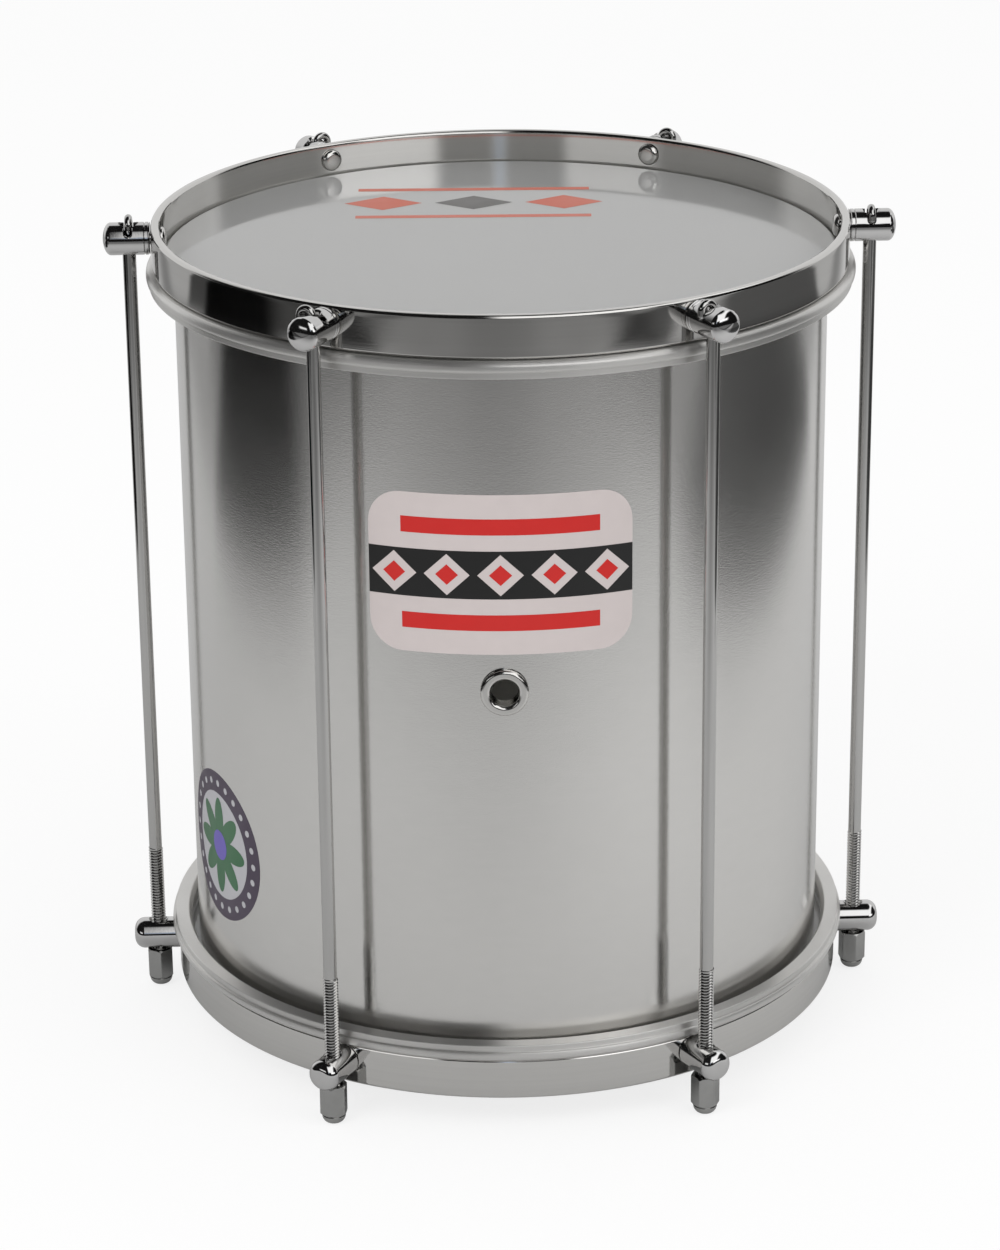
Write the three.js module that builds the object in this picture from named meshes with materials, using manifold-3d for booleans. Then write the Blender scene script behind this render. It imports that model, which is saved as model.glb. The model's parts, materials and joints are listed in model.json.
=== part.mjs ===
// A repinique: a small two-headed samba drum with an aluminium shell, flat steel hoops and six hooked tension rods.
// Lengths are in millimetres and angles in radians. +Z is up and the front of the drum faces -Y.
// The drum stands on the tips of its six tuning nuts, at Z 0, and its axis is the Z axis.

import * as THREE from "three";
import { mergeVertices } from "three/addons/utils/BufferGeometryUtils.js";
import Module from "manifold-3d";

const wasm = await Module();
wasm.setup();

// Clearances
const SEAT_GAP = 0.3; // between pieces that rest on each other
const CUT_OVERRUN = 2; // how far a cutter runs past what it cuts

// Facets of a full turn
const RING_FACETS = 54;
const POST_FACETS = 16;
const SMALL_FACETS = 12;
const ARC_STEPS = 3;
const FULL_TURN = Math.PI * 2;

// Shell
const SHELL_DIAMETER = 260;
const SHELL_LENGTH = 291.9;
const SHELL_WALL = 1.5;

// Vent: a rolled eyelet through the front of the shell, and its washer inside
const VENT_ABOVE_SHELL_END = 154.4;
const VENT_HOLE_DIAMETER = 10.8;
const VENT_FLANGE_DIAMETER = 18.8;
const VENT_BULGE = 2;
const VENT_BARREL_WALL = 0.6;
const VENT_BARREL_CLEARANCE = 0.4;
const VENT_WASHER_THICKNESS = 0.8;
const VENT_ROLL_WIDTH = 1.6;
const VENT_ROLL_HEIGHT = 1.3;

// Heads: a film whose rim is held in the groove of an aluminium flesh hoop
const FILM_THICKNESS = 0.5;
const TOP_COLLAR_DEPTH = 4.3; // from the film's face to the flesh hoop's edge
const BOTTOM_COLLAR_DEPTH = 3; // shallower, so that the film clears the heads of the lower post screws
const FILM_COLLAR_RADIUS = 2; // of the bend over the shell's edge
const FLESH_HOOP_HEIGHT = 6.7;
const FLESH_HOOP_CLEARANCE = 2.8; // between the shell and the flesh hoop
const FLESH_HOOP_OVERHANG = 2.5; // past the counter hoop's outer face
const FLESH_LIP_HEIGHT = 2.8;
const FLESH_LIP_STEP = 1.1;
const FLESH_EDGE_RADIUS = 1;
const FLESH_INNER_CHAMFER = 1.4;
const FLESH_GROOVE_DEPTH = 3.5;
const FLESH_GROOVE_WALL = 0.85;
const FLESH_GROOVE_CLEARANCE = 0.3;

// Counter hoops: flat bar, rolled and welded
const HOOP_HEIGHT = 17;
const HOOP_THICKNESS = 3.6;
const HOOP_CLEARANCE = 4.8; // between the shell and the hoop
const HOOP_EDGE_CHAMFER = 0.5;

// Lugs: posts screwed to both hoops, in line above each other
const LUG_COUNT = 6;
const HOOP_TURN = THREE.MathUtils.degToRad(2); // of both hoops against the vent
const POST_DIAMETER = 13;
const POST_LENGTH = 18.8;
const POST_BELOW_HOOP_EDGE = 7; // from each hoop's upper edge to the middle of its posts
const TOP_POST_DOME = 3.2;
const BOTTOM_POST_DOME = 4.2;
const BOTTOM_POST_FACE_SHARE = 0.3; // flat middle of the bottom post's end, as a share of its radius
const POST_GROOVE_FROM_HOOP = 2.2;
const POST_GROOVE_WIDTH = 0.6;
const POST_GROOVE_DEPTH = 0.5;
const POST_COUNTERSINK_DIAMETER = 8.3;
const POST_COUNTERSINK_DEPTH = 1.6;

// Post screws, from inside each hoop
const SCREW_DIAMETER = 4.6;
const SCREW_HEAD_DIAMETER = 9;
const SCREW_HEAD_HEIGHT = 2;
const SCREW_REACH = 4.4; // into the post
const SCREW_CLEARANCE = 0.4;

// Tension rods: plain above, threaded below, with a hook bent from the thinned top end
const ROD_DIAMETER = 5.3;
const ROD_THREAD_DIAMETER = 5.6;
const ROD_THREAD_LENGTH = 58;
const ROD_CLEARANCE = 0.35;
const ROD_FROM_HOOP = 8.9; // from the hoop's outer face to the rod's middle
const ROD_END_CHAMFER = 0.8;
const ROD_SHOULDER_BELOW_POST_AXIS = 2.2;
const ROD_TAPER_LENGTH = 2;
const HOOK_DIAMETER = 3;
const HOOK_BEND_RADIUS = 2.7;
const HOOK_ABOVE_POST = 2.7;
const HOOK_SLOT_CLEARANCE = 0.35;
const HOOK_SLOT_FLOOR = 1.6; // above the post's middle
const HOOK_BEND_STEPS = 8;
const HOOK_STEPS = 12;
const HOOK_FACETS = 8;

// Tuning nuts: long closed hexagon nuts with a domed end
const NUT_HEIGHT = 16.5;
const NUT_ACROSS_FLATS = 10;
const NUT_DOME_HEIGHT = 3.2;
const NUT_TIP_DIAMETER = 4;
const NUT_TOP_CHAMFER = 0.7;
const NUT_END_WALL = 3.4;
const NUT_END_GAP = 1.5; // between the rod's end and the bottom of the nut's bore
const NUT_THREAD_CLEARANCE = 0.35;
const NUT_CORNERS = 6;
const NUT_TURNS = [12, 38, 22, 5, 50, 31].map(THREE.MathUtils.degToRad); // where tuning happened to leave each nut

// Radii that follow
const shellRadius = SHELL_DIAMETER / 2;
const shellInnerRadius = shellRadius - SHELL_WALL;
const hoopInnerRadius = shellRadius + HOOP_CLEARANCE;
const hoopOuterRadius = hoopInnerRadius + HOOP_THICKNESS;
const fleshInnerRadius = shellRadius + FLESH_HOOP_CLEARANCE;
const fleshOuterRadius = hoopOuterRadius + FLESH_HOOP_OVERHANG;
const filmRimRadius = fleshInnerRadius + FLESH_GROOVE_WALL + FLESH_GROOVE_CLEARANCE;
const postRadius = POST_DIAMETER / 2;
const postBaseRadius = hoopOuterRadius + SEAT_GAP;
const rodAxisRadius = hoopOuterRadius + ROD_FROM_HOOP;
const rodRadius = ROD_DIAMETER / 2;
const threadRadius = ROD_THREAD_DIAMETER / 2;
const rodBoreRadius = threadRadius + ROD_CLEARANCE;
const hookRadius = HOOK_DIAMETER / 2;
const slotHalfWidth = hookRadius + HOOK_SLOT_CLEARANCE;
const screwRadius = SCREW_DIAMETER / 2;
const screwHoleRadius = screwRadius + SCREW_CLEARANCE;
const screwHeadRadius = SCREW_HEAD_DIAMETER / 2;
const screwHeadSeat = Math.sqrt(hoopInnerRadius ** 2 - screwHeadRadius ** 2) - SEAT_GAP;
const nutCornerRadius = NUT_ACROSS_FLATS / 2 / Math.cos(Math.PI / NUT_CORNERS);
const ventHoleRadius = VENT_HOLE_DIAMETER / 2;
const ventFlangeRadius = VENT_FLANGE_DIAMETER / 2;
const ventBarrelRadius = ventHoleRadius + VENT_BARREL_WALL;
const ventCutRadius = ventBarrelRadius + VENT_BARREL_CLEARANCE;

// Heights that follow, from the nuts' tips upwards
const bottomPostHeight = NUT_HEIGHT + SEAT_GAP + postRadius;
const bottomHoopTop = bottomPostHeight + POST_BELOW_HOOP_EDGE;
const bottomHoopBottom = bottomHoopTop - HOOP_HEIGHT;
const bottomFleshBottom = bottomHoopTop + SEAT_GAP;
const bottomFilmFace = bottomFleshBottom - BOTTOM_COLLAR_DEPTH;
const shellBottom = bottomFilmFace + FILM_THICKNESS + SEAT_GAP;
const shellTop = shellBottom + SHELL_LENGTH;
const topFilmFace = shellTop + SEAT_GAP + FILM_THICKNESS;
const topFleshTop = topFilmFace - TOP_COLLAR_DEPTH;
const topHoopBottom = topFleshTop + SEAT_GAP;
const topHoopTop = topHoopBottom + HOOP_HEIGHT;
const topPostHeight = topHoopTop - POST_BELOW_HOOP_EDGE;
const rodEndHeight = NUT_END_WALL + NUT_END_GAP;
const ventHeight = shellBottom + VENT_ABOVE_SHELL_END;

// Materials
const paint = (color, roughness, metalness) => new THREE.MeshStandardMaterial({ color, roughness, metalness });
const brushedAluminium = paint(0xb4b2ae, 0.34, 1);
const turnedAluminium = paint(0xbcbab6, 0.3, 1);
const polishedSteel = paint(0xb9b8b6, 0.14, 1);
const brightChrome = paint(0xc9cbcf, 0.06, 1);
const platedSteel = paint(0x9d9b98, 0.22, 1);
const milkyFilm = paint(0xb9bab8, 0.16, 0);

// A profile of [radius, height] points revolved about Z; it starts and ends on the axis or closes on itself.
function revolve(points, facets) {
  const profile = points.map(([radius, height]) => new THREE.Vector2(radius, height));
  return new THREE.LatheGeometry(profile, facets).rotateX(Math.PI / 2);
}

function ring(points, facets) {
  return revolve([...points, points[0]], facets);
}

// Points of an arc about a centre, with a radius along each axis, from one angle to another.
function arc([centreX, centreY], radiusX, radiusY, from, to, steps = ARC_STEPS) {
  return Array.from({ length: steps + 1 }, (_, step) => {
    const angle = from + ((to - from) * step) / steps;
    return [centreX + radiusX * Math.cos(angle), centreY + radiusY * Math.sin(angle)];
  });
}

// A lathe turns a profile inside out when it runs the other way round, so its faces are turned to point outwards.
function solid(geometry) {
  const bare = geometry.clone();
  bare.deleteAttribute("normal");
  bare.deleteAttribute("uv");
  const merged = mergeVertices(bare);
  const build = (triVerts) =>
    new wasm.Manifold(new wasm.Mesh({ numProp: 3, vertProperties: merged.attributes.position.array, triVerts }));
  const made = build(new Uint32Array(merged.index.array));
  return made.volume() > 0 ? made : build(new Uint32Array(merged.index.array).reverse());
}

function geometryOf(manifold) {
  const { numProp, vertProperties, triVerts } = manifold.getMesh();
  const geometry = new THREE.BufferGeometry();
  geometry.setAttribute("position", new THREE.BufferAttribute(Float32Array.from(vertProperties), numProp));
  geometry.setIndex(new THREE.BufferAttribute(Uint32Array.from(triVerts), 1));
  const flat = geometry.toNonIndexed();
  flat.computeVertexNormals();
  return flat;
}

function cut(body, ...cutters) {
  return geometryOf(cutters.reduce((left, cutter) => left.subtract(solid(cutter)), solid(body)));
}

function piece(name, geometry, material) {
  const mesh = new THREE.Mesh(geometryOf(solid(geometry)), material);
  mesh.name = name;
  return mesh;
}

// A rod-like cutter along Z, from one height to another.
function pin(radius, from, to, facets = SMALL_FACETS) {
  const length = to - from;
  return new THREE.CylinderGeometry(radius, radius, length, facets)
    .rotateX(Math.PI / 2)
    .translate(0, 0, from + length / 2);
}

// Lays a shape made along Z so that its Z axis points outwards from the drum.
const layOutwards = (geometry) => geometry.rotateY(Math.PI / 2);

// The angle about the drum's axis at which each lug stands.
const lugAngles = Array.from({ length: LUG_COUNT }, (_, lug) => HOOP_TURN + (FULL_TURN * lug) / LUG_COUNT);

// Shell and vent

function shell() {
  const wall = ring(
    [
      [shellInnerRadius, shellBottom],
      [shellRadius, shellBottom],
      [shellRadius, shellTop],
      [shellInnerRadius, shellTop],
    ],
    RING_FACETS,
  );
  const ventHole = pin(ventCutRadius, shellInnerRadius - CUT_OVERRUN, shellRadius + CUT_OVERRUN);
  return piece("shell", cut(wall, faceFront(ventHole)), brushedAluminium);
}

// Turns a shape made along Z towards the front of the drum and raises it to the vent.
function faceFront(geometry) {
  return geometry.rotateX(Math.PI / 2).translate(0, 0, ventHeight);
}

// The washer is flat, so its two sides meet the hollow of the shell first.
const washerRadius = ventFlangeRadius;
const washerFront = Math.sqrt(shellInnerRadius ** 2 - washerRadius ** 2) - SEAT_GAP;
const washerBack = washerFront - VENT_WASHER_THICKNESS;

function ventGrommet() {
  const flangeBack = shellRadius + SEAT_GAP;
  const rollFront = washerBack - SEAT_GAP;
  const middle = (ventFlangeRadius + ventHoleRadius) / 2;
  const halfWidth = (ventFlangeRadius - ventHoleRadius) / 2;
  const rollWidth = VENT_BARREL_WALL + VENT_ROLL_WIDTH;
  const profile = [
    ...arc([middle, flangeBack], halfWidth, VENT_BULGE, Math.PI, 0, 2 * ARC_STEPS),
    [ventBarrelRadius, flangeBack],
    [ventBarrelRadius, rollFront],
    ...arc([ventHoleRadius, rollFront], rollWidth, -VENT_ROLL_HEIGHT, 0, Math.PI / 2),
  ];
  return piece("vent_grommet", faceFront(ring(profile, POST_FACETS)), brightChrome);
}

function ventWasher() {
  const profile = [
    [ventCutRadius, washerBack],
    [washerRadius, washerBack],
    [washerRadius, washerFront],
    [ventCutRadius, washerFront],
  ];
  return piece("vent_washer", faceFront(ring(profile, POST_FACETS)), platedSteel);
}

// Heads. A profile's heights run from the film's face into the drum, and each head says where they lie on the drum.

const topHead = { collarDepth: TOP_COLLAR_DEPTH, place: ([radius, depth]) => [radius, topFilmFace - depth] };
const bottomHead = { collarDepth: BOTTOM_COLLAR_DEPTH, place: ([radius, depth]) => [radius, bottomFilmFace + depth] };

function film(name, { collarDepth, place }) {
  const rimEnd = collarDepth + FLESH_GROOVE_DEPTH - FLESH_GROOVE_CLEARANCE;
  const bendCentre = [filmRimRadius + FILM_THICKNESS - FILM_COLLAR_RADIUS, FILM_COLLAR_RADIUS];
  const innerBend = FILM_COLLAR_RADIUS - FILM_THICKNESS;
  const profile = [
    [0, 0],
    ...arc(bendCentre, FILM_COLLAR_RADIUS, -FILM_COLLAR_RADIUS, Math.PI / 2, 0),
    [filmRimRadius + FILM_THICKNESS, rimEnd],
    [filmRimRadius, rimEnd],
    ...arc(bendCentre, innerBend, -innerBend, 0, Math.PI / 2),
    [0, FILM_THICKNESS],
  ];
  return piece(name, revolve(profile.map(place), RING_FACETS), milkyFilm);
}

function fleshHoop(name, { collarDepth, place }) {
  const top = collarDepth;
  const bottom = top + FLESH_HOOP_HEIGHT;
  const lipTop = bottom - FLESH_LIP_HEIGHT;
  const lipRadius = fleshOuterRadius - FLESH_LIP_STEP;
  const grooveInner = fleshInnerRadius + FLESH_GROOVE_WALL;
  const grooveOuter = filmRimRadius + FILM_THICKNESS + FLESH_GROOVE_CLEARANCE;
  const grooveBottom = top + FLESH_GROOVE_DEPTH;
  const round = fleshOuterRadius - FLESH_EDGE_RADIUS;
  const profile = [
    [fleshInnerRadius, lipTop],
    [fleshInnerRadius + FLESH_INNER_CHAMFER, bottom],
    [lipRadius, bottom],
    [lipRadius, lipTop],
    [fleshOuterRadius, lipTop],
    ...arc([round, top + FLESH_EDGE_RADIUS], FLESH_EDGE_RADIUS, -FLESH_EDGE_RADIUS, 0, Math.PI / 2, 1),
    [grooveOuter, top],
    [grooveOuter, grooveBottom],
    [grooveInner, grooveBottom],
    [grooveInner, top],
    [fleshInnerRadius, top],
  ];
  return piece(name, ring(profile.map(place), RING_FACETS), turnedAluminium);
}

// Counter hoops

function counterHoop(name, bottom, postHeight) {
  const top = bottom + HOOP_HEIGHT;
  const chamfer = HOOP_EDGE_CHAMFER;
  const bar = ring(
    [
      [hoopInnerRadius + chamfer, bottom],
      [hoopOuterRadius - chamfer, bottom],
      [hoopOuterRadius, bottom + chamfer],
      [hoopOuterRadius, top - chamfer],
      [hoopOuterRadius - chamfer, top],
      [hoopInnerRadius + chamfer, top],
      [hoopInnerRadius, top - chamfer],
      [hoopInnerRadius, bottom + chamfer],
    ],
    RING_FACETS,
  );
  const holes = lugAngles.map((angle) => {
    const hole = pin(screwHoleRadius, hoopInnerRadius - CUT_OVERRUN, hoopOuterRadius + CUT_OVERRUN);
    return layOutwards(hole).translate(0, 0, postHeight).rotateZ(angle);
  });
  return piece(name, cut(bar, ...holes), polishedSteel);
}

// Lug posts, drawn with their length along Z from the hoop outwards

const postTip = postBaseRadius + POST_LENGTH;

function postBody(dome, faceShare) {
  const grooveMiddle = postBaseRadius + POST_GROOVE_FROM_HOOP;
  const grooveFloor = postRadius - POST_GROOVE_DEPTH;
  const shoulder = postTip - dome;
  const face = postRadius * faceShare;
  const profile = [
    [0, postBaseRadius],
    [postRadius, postBaseRadius],
    [postRadius, grooveMiddle - POST_GROOVE_WIDTH / 2],
    [grooveFloor, grooveMiddle],
    [postRadius, grooveMiddle + POST_GROOVE_WIDTH / 2],
    ...arc([face, shoulder], postRadius - face, dome, 0, Math.PI / 2),
    [0, postTip],
  ];
  return revolve(face > 0 ? profile : profile.slice(0, -1), POST_FACETS);
}

function screwHole() {
  return pin(screwHoleRadius, postBaseRadius - CUT_OVERRUN, postBaseRadius + SCREW_REACH + SCREW_CLEARANCE);
}

function rodBore() {
  return pin(rodBoreRadius, -postRadius - CUT_OVERRUN, postRadius + CUT_OVERRUN).translate(rodAxisRadius, 0, 0);
}

// A countersink at the mouth of the rod's bore, on the post's crown or turned over to its underside.
function countersink(turn) {
  const countersinkRadius = POST_COUNTERSINK_DIAMETER / 2;
  const depth = POST_COUNTERSINK_DEPTH;
  const slope = (countersinkRadius - rodBoreRadius) / depth;
  const cone = revolve(
    [
      [0, postRadius - depth],
      [rodBoreRadius, postRadius - depth],
      [countersinkRadius + slope * CUT_OVERRUN, postRadius + CUT_OVERRUN],
      [0, postRadius + CUT_OVERRUN],
    ],
    SMALL_FACETS,
  );
  return cone.rotateX(turn).translate(rodAxisRadius, 0, 0);
}

// The hook's slot crosses the post from side to side and has a round floor near the post's middle.
function hookSlot() {
  const top = postRadius + CUT_OVERRUN;
  const length = 2 * top;
  const floorMiddle = [0, HOOK_SLOT_FLOOR + slotHalfWidth];
  const floor = arc(floorMiddle, slotHalfWidth, slotHalfWidth, Math.PI, FULL_TURN, 2 * ARC_STEPS);
  const outline = new THREE.Shape([
    new THREE.Vector2(-slotHalfWidth, top),
    ...floor.map(([x, y]) => new THREE.Vector2(x, y)),
    new THREE.Vector2(slotHalfWidth, top),
  ]);
  return new THREE.ExtrudeGeometry(outline, { depth: length, bevelEnabled: false, steps: 1 })
    .translate(0, 0, -length / 2)
    .rotateX(Math.PI / 2)
    .translate(rodAxisRadius, 0, 0);
}

function topPost(name, angle) {
  const body = layOutwards(postBody(TOP_POST_DOME, 0));
  const made = cut(body, layOutwards(screwHole()), rodBore(), countersink(0), countersink(Math.PI), hookSlot());
  return piece(name, made.translate(0, 0, topPostHeight).rotateZ(angle), brightChrome);
}

function bottomPost(name, angle) {
  const body = layOutwards(postBody(BOTTOM_POST_DOME, BOTTOM_POST_FACE_SHARE));
  const made = cut(body, layOutwards(screwHole()), rodBore(), countersink(0));
  return piece(name, made.translate(0, 0, bottomPostHeight).rotateZ(angle), brightChrome);
}

function postScrew(name, angle, height) {
  const headTop = screwHeadSeat - SCREW_HEAD_HEIGHT;
  const shankEnd = postBaseRadius + SCREW_REACH;
  const crown = screwHeadRadius / 2;
  const profile = [
    [0, headTop],
    ...arc([crown, screwHeadSeat], screwHeadRadius - crown, -SCREW_HEAD_HEIGHT, Math.PI / 2, 0, 2),
    [screwRadius, screwHeadSeat],
    [screwRadius, shankEnd],
    [0, shankEnd],
  ];
  const made = layOutwards(revolve(profile, SMALL_FACETS));
  return piece(name, made.translate(0, 0, height).rotateZ(angle), platedSteel);
}

// Tension rods

// The hook leaves the rod's middle, bends over clockwise as seen from above and stands on the slot's round floor.
function hookPath() {
  const bendHeight = topPostHeight + postRadius + HOOK_ABOVE_POST - hookRadius - HOOK_BEND_RADIUS;
  const start = topPostHeight - ROD_SHOULDER_BELOW_POST_AXIS;
  const floorUnderTip = HOOK_SLOT_FLOOR + slotHalfWidth - Math.sqrt(slotHalfWidth ** 2 - hookRadius ** 2);
  const tip = topPostHeight + floorUnderTip + SEAT_GAP;
  const bend = arc([-HOOK_BEND_RADIUS, bendHeight], HOOK_BEND_RADIUS, HOOK_BEND_RADIUS, 0, Math.PI, HOOK_BEND_STEPS);
  const stops = [[0, start], ...bend, [-2 * HOOK_BEND_RADIUS, tip]];
  const path = new THREE.CurvePath();
  stops.slice(1).forEach((stop, leg) => {
    const [fromY, fromZ] = stops[leg];
    const [toY, toZ] = stop;
    path.add(new THREE.LineCurve3(new THREE.Vector3(0, fromY, fromZ), new THREE.Vector3(0, toY, toZ)));
  });
  return path;
}

function hook() {
  const section = new THREE.Shape(
    arc([0, 0], hookRadius, hookRadius, 0, FULL_TURN, HOOK_FACETS)
      .slice(0, -1)
      .map(([x, y]) => new THREE.Vector2(x, y)),
  );
  return new THREE.ExtrudeGeometry(section, {
    extrudePath: hookPath(),
    steps: HOOK_STEPS,
    bevelEnabled: false,
  });
}

function tensionRod(name, angle) {
  const shoulder = topPostHeight - ROD_SHOULDER_BELOW_POST_AXIS;
  const threadTop = rodEndHeight + ROD_THREAD_LENGTH;
  const taperEnd = shoulder + ROD_TAPER_LENGTH;
  const shaft = revolve(
    [
      [0, rodEndHeight],
      [threadRadius - ROD_END_CHAMFER, rodEndHeight],
      [threadRadius, rodEndHeight + ROD_END_CHAMFER],
      [threadRadius, threadTop],
      [rodRadius, threadTop],
      [rodRadius, shoulder],
      [hookRadius, taperEnd],
      [0, taperEnd],
    ],
    SMALL_FACETS,
  );
  const made = geometryOf(solid(shaft).add(solid(hook())));
  return piece(name, made.translate(rodAxisRadius, 0, 0).rotateZ(angle), platedSteel);
}

// Tuning nuts

function tuningNut(name, angle, turn) {
  const boreRadius = threadRadius + NUT_THREAD_CLEARANCE;
  const tipRadius = NUT_TIP_DIAMETER / 2;
  const round = revolve(
    [
      [0, NUT_END_WALL],
      [boreRadius, NUT_END_WALL],
      [boreRadius, NUT_HEIGHT],
      [nutCornerRadius - NUT_TOP_CHAMFER, NUT_HEIGHT],
      [nutCornerRadius, NUT_HEIGHT - NUT_TOP_CHAMFER],
      ...arc([tipRadius, NUT_DOME_HEIGHT], nutCornerRadius - tipRadius, -NUT_DOME_HEIGHT, 0, Math.PI / 2),
      [0, 0],
    ],
    POST_FACETS,
  );
  const corners = arc([0, 0], nutCornerRadius, nutCornerRadius, 0, FULL_TURN, NUT_CORNERS).slice(0, -1);
  const hexagon = new THREE.Shape(corners.map(([x, y]) => new THREE.Vector2(x, y)));
  const bar = new THREE.ExtrudeGeometry(hexagon, { depth: NUT_HEIGHT + 2 * CUT_OVERRUN, bevelEnabled: false, steps: 1 });
  const made = geometryOf(solid(round).intersect(solid(bar.translate(0, 0, -CUT_OVERRUN))));
  return piece(name, made.rotateZ(turn).translate(rodAxisRadius, 0, 0).rotateZ(angle), platedSteel);
}

// The drum

const drum = new THREE.Group();
drum.add(shell(), ventGrommet(), ventWasher());

const playedHead = new THREE.Group();
playedHead.add(film("batter_film", topHead), fleshHoop("batter_flesh_hoop", topHead));
playedHead.add(counterHoop("top_hoop", topHoopBottom, topPostHeight));

const resonantHead = new THREE.Group();
resonantHead.add(film("resonant_film", bottomHead), fleshHoop("resonant_flesh_hoop", bottomHead));
resonantHead.add(counterHoop("bottom_hoop", bottomHoopBottom, bottomPostHeight));

const tension = new THREE.Group();
lugAngles.forEach((angle, lug) => {
  const number = lug + 1;
  playedHead.add(topPost(`top_post_${number}`, angle));
  playedHead.add(postScrew(`top_post_screw_${number}`, angle, topPostHeight));
  resonantHead.add(bottomPost(`bottom_post_${number}`, angle));
  resonantHead.add(postScrew(`bottom_post_screw_${number}`, angle, bottomPostHeight));
  tension.add(tensionRod(`tension_rod_${number}`, angle));
  tension.add(tuningNut(`tuning_nut_${number}`, angle, NUT_TURNS[lug]));
});
drum.add(playedHead, resonantHead, tension);

export default drum;
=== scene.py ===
# %% [markdown]
# A repinique
#
# A repinique is a small, high-tuned samba drum: an aluminium shell between two heads, and two flat hoops
# that six hooked rods pull together over them. Nearly all of it is turned, rolled or bent metal, so most
# pieces here are sections spun about an axis, and the looks come from how each metal was finished.
#
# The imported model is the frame: it says where each piece is. The pieces below take their places from it and
# add what a faceted solid can't show, such as true round edges, threads and polished faces.

import json
import math

import bmesh
import bpy
from mathutils import Matrix, Vector


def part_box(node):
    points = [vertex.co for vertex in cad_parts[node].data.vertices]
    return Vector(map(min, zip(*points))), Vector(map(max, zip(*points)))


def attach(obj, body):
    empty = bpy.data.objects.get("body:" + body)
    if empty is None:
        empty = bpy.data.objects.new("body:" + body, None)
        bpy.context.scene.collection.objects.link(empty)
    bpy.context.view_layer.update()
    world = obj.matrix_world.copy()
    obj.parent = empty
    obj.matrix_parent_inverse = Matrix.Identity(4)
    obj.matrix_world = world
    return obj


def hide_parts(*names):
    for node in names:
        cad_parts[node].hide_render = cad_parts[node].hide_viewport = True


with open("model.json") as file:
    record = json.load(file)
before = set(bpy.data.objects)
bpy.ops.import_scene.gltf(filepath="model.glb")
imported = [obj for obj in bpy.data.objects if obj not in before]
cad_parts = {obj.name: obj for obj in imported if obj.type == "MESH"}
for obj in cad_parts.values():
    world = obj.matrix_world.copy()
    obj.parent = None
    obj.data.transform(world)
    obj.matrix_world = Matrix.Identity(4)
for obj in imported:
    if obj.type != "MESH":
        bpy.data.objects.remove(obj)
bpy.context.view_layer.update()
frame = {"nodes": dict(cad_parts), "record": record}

# %% [markdown]
# Lengths are in metres. A maker thinks of these pieces in millimetres, so `MM` turns one into the other,
# and every size that the frame doesn't give is named once, beside the piece that needs it first. The big
# rings take enough steps to look round when one fills the picture, and the small pieces fewer.

# %% Units, shared sizes and steps
MM = 0.001
FULL_TURN = 2 * math.pi
HALF_TURN = math.pi
RIGHT_ANGLE = math.pi / 2
SEAT_GAP = 0.3 * MM
MERGE_DISTANCE = 0.002 * MM
CUT_OVERRUN = 2 * MM
RING_STEPS = 240
POST_STEPS = 64
SMALL_STEPS = 32
ROUNDING_STEPS = 5
SHARP_ANGLE = math.radians(14)


def in_mm(length):
    """A length in millimetres, for printing."""
    return round(length / MM, 1)


# %% [markdown]
# The lugs are the six places where a rod joins the hoops. A nut is centred on its rod, so the middle of
# each nut's box gives the rod's place, and from that the lug's angle about the drum and its distance from
# the axis.

# %% The lugs
def middle(node):
    """The middle of a CAD node's box."""
    low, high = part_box(node)
    return (low + high) / 2


def heights(node):
    """The lowest and highest point of a CAD node."""
    low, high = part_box(node)
    return low.z, high.z


def ring_radius(node):
    """The outer radius of a round CAD node that is centred on the drum's axis."""
    low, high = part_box(node)
    return (high.y - low.y) / 2


def rotation(angle, axis):
    """A matrix that turns a shape about an axis."""
    return Matrix.Rotation(angle, 4, axis)


def shift(x, y, z):
    """A matrix that moves a shape."""
    return Matrix.Translation((x, y, z))


LUGS = range(1, 1 + sum(name.startswith("tuning_nut_") for name in frame["nodes"]))
rod_places = {lug: middle(f"tuning_nut_{lug}") for lug in LUGS}
lug_angles = {lug: math.atan2(place.y, place.x) for lug, place in rod_places.items()}
rod_distance = rod_places[1].xy.length
print("lugs at", [round(math.degrees(angle), 1) for angle in lug_angles.values()], "degrees")
print("rods stand", in_mm(rod_distance), "mm from the drum's axis")

# %% [markdown]
# Spinning a section
#
# A ring could be a primitive, but a real hoop has a wall, rounded edges and grooves. So each ring starts as
# a flat section beside the axis: a face whose corners a bevel rounds, and whose edges are then spun a full
# turn. The face itself is thrown away, because the inside of a solid needs no wall.

# %% From a section to a ring
def round_off(bm, parts, radius, steps, affect):
    """Rounds corners, where affect is VERTICES, or edges, where it is EDGES."""
    bmesh.ops.bevel(
        bm, geom=parts, offset=radius, offset_type="OFFSET", segments=steps, profile=0.5,
        affect=affect, material=-1,
    )


def draw_section(corners, steps):
    """A bmesh with one face in the XZ plane. A corner is (radius, height) or (radius, height, rounding)."""
    bm = bmesh.new()
    verts = [bm.verts.new((radius, 0, height)) for radius, height, *rounding in corners]
    bm.faces.new(verts)
    for vert, (radius, height, *rounding) in zip(verts, corners):
        if rounding:
            round_off(bm, [vert], rounding[0], steps, "VERTICES")
    return bm


def lies_on_axis(edge):
    """Whether an edge of a section runs along the axis, where spinning it makes nothing."""
    return all(vert.co.xy.length < MERGE_DISTANCE for vert in edge.verts)


def close_up(bm):
    """Merges doubled points, drops stray edges and turns all faces outwards."""
    bmesh.ops.remove_doubles(bm, verts=bm.verts, dist=MERGE_DISTANCE)
    stray = [edge for edge in bm.edges if not edge.link_faces]
    bmesh.ops.delete(bm, geom=stray, context="EDGES")
    bmesh.ops.recalc_face_normals(bm, faces=bm.faces)
    return bm


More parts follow.
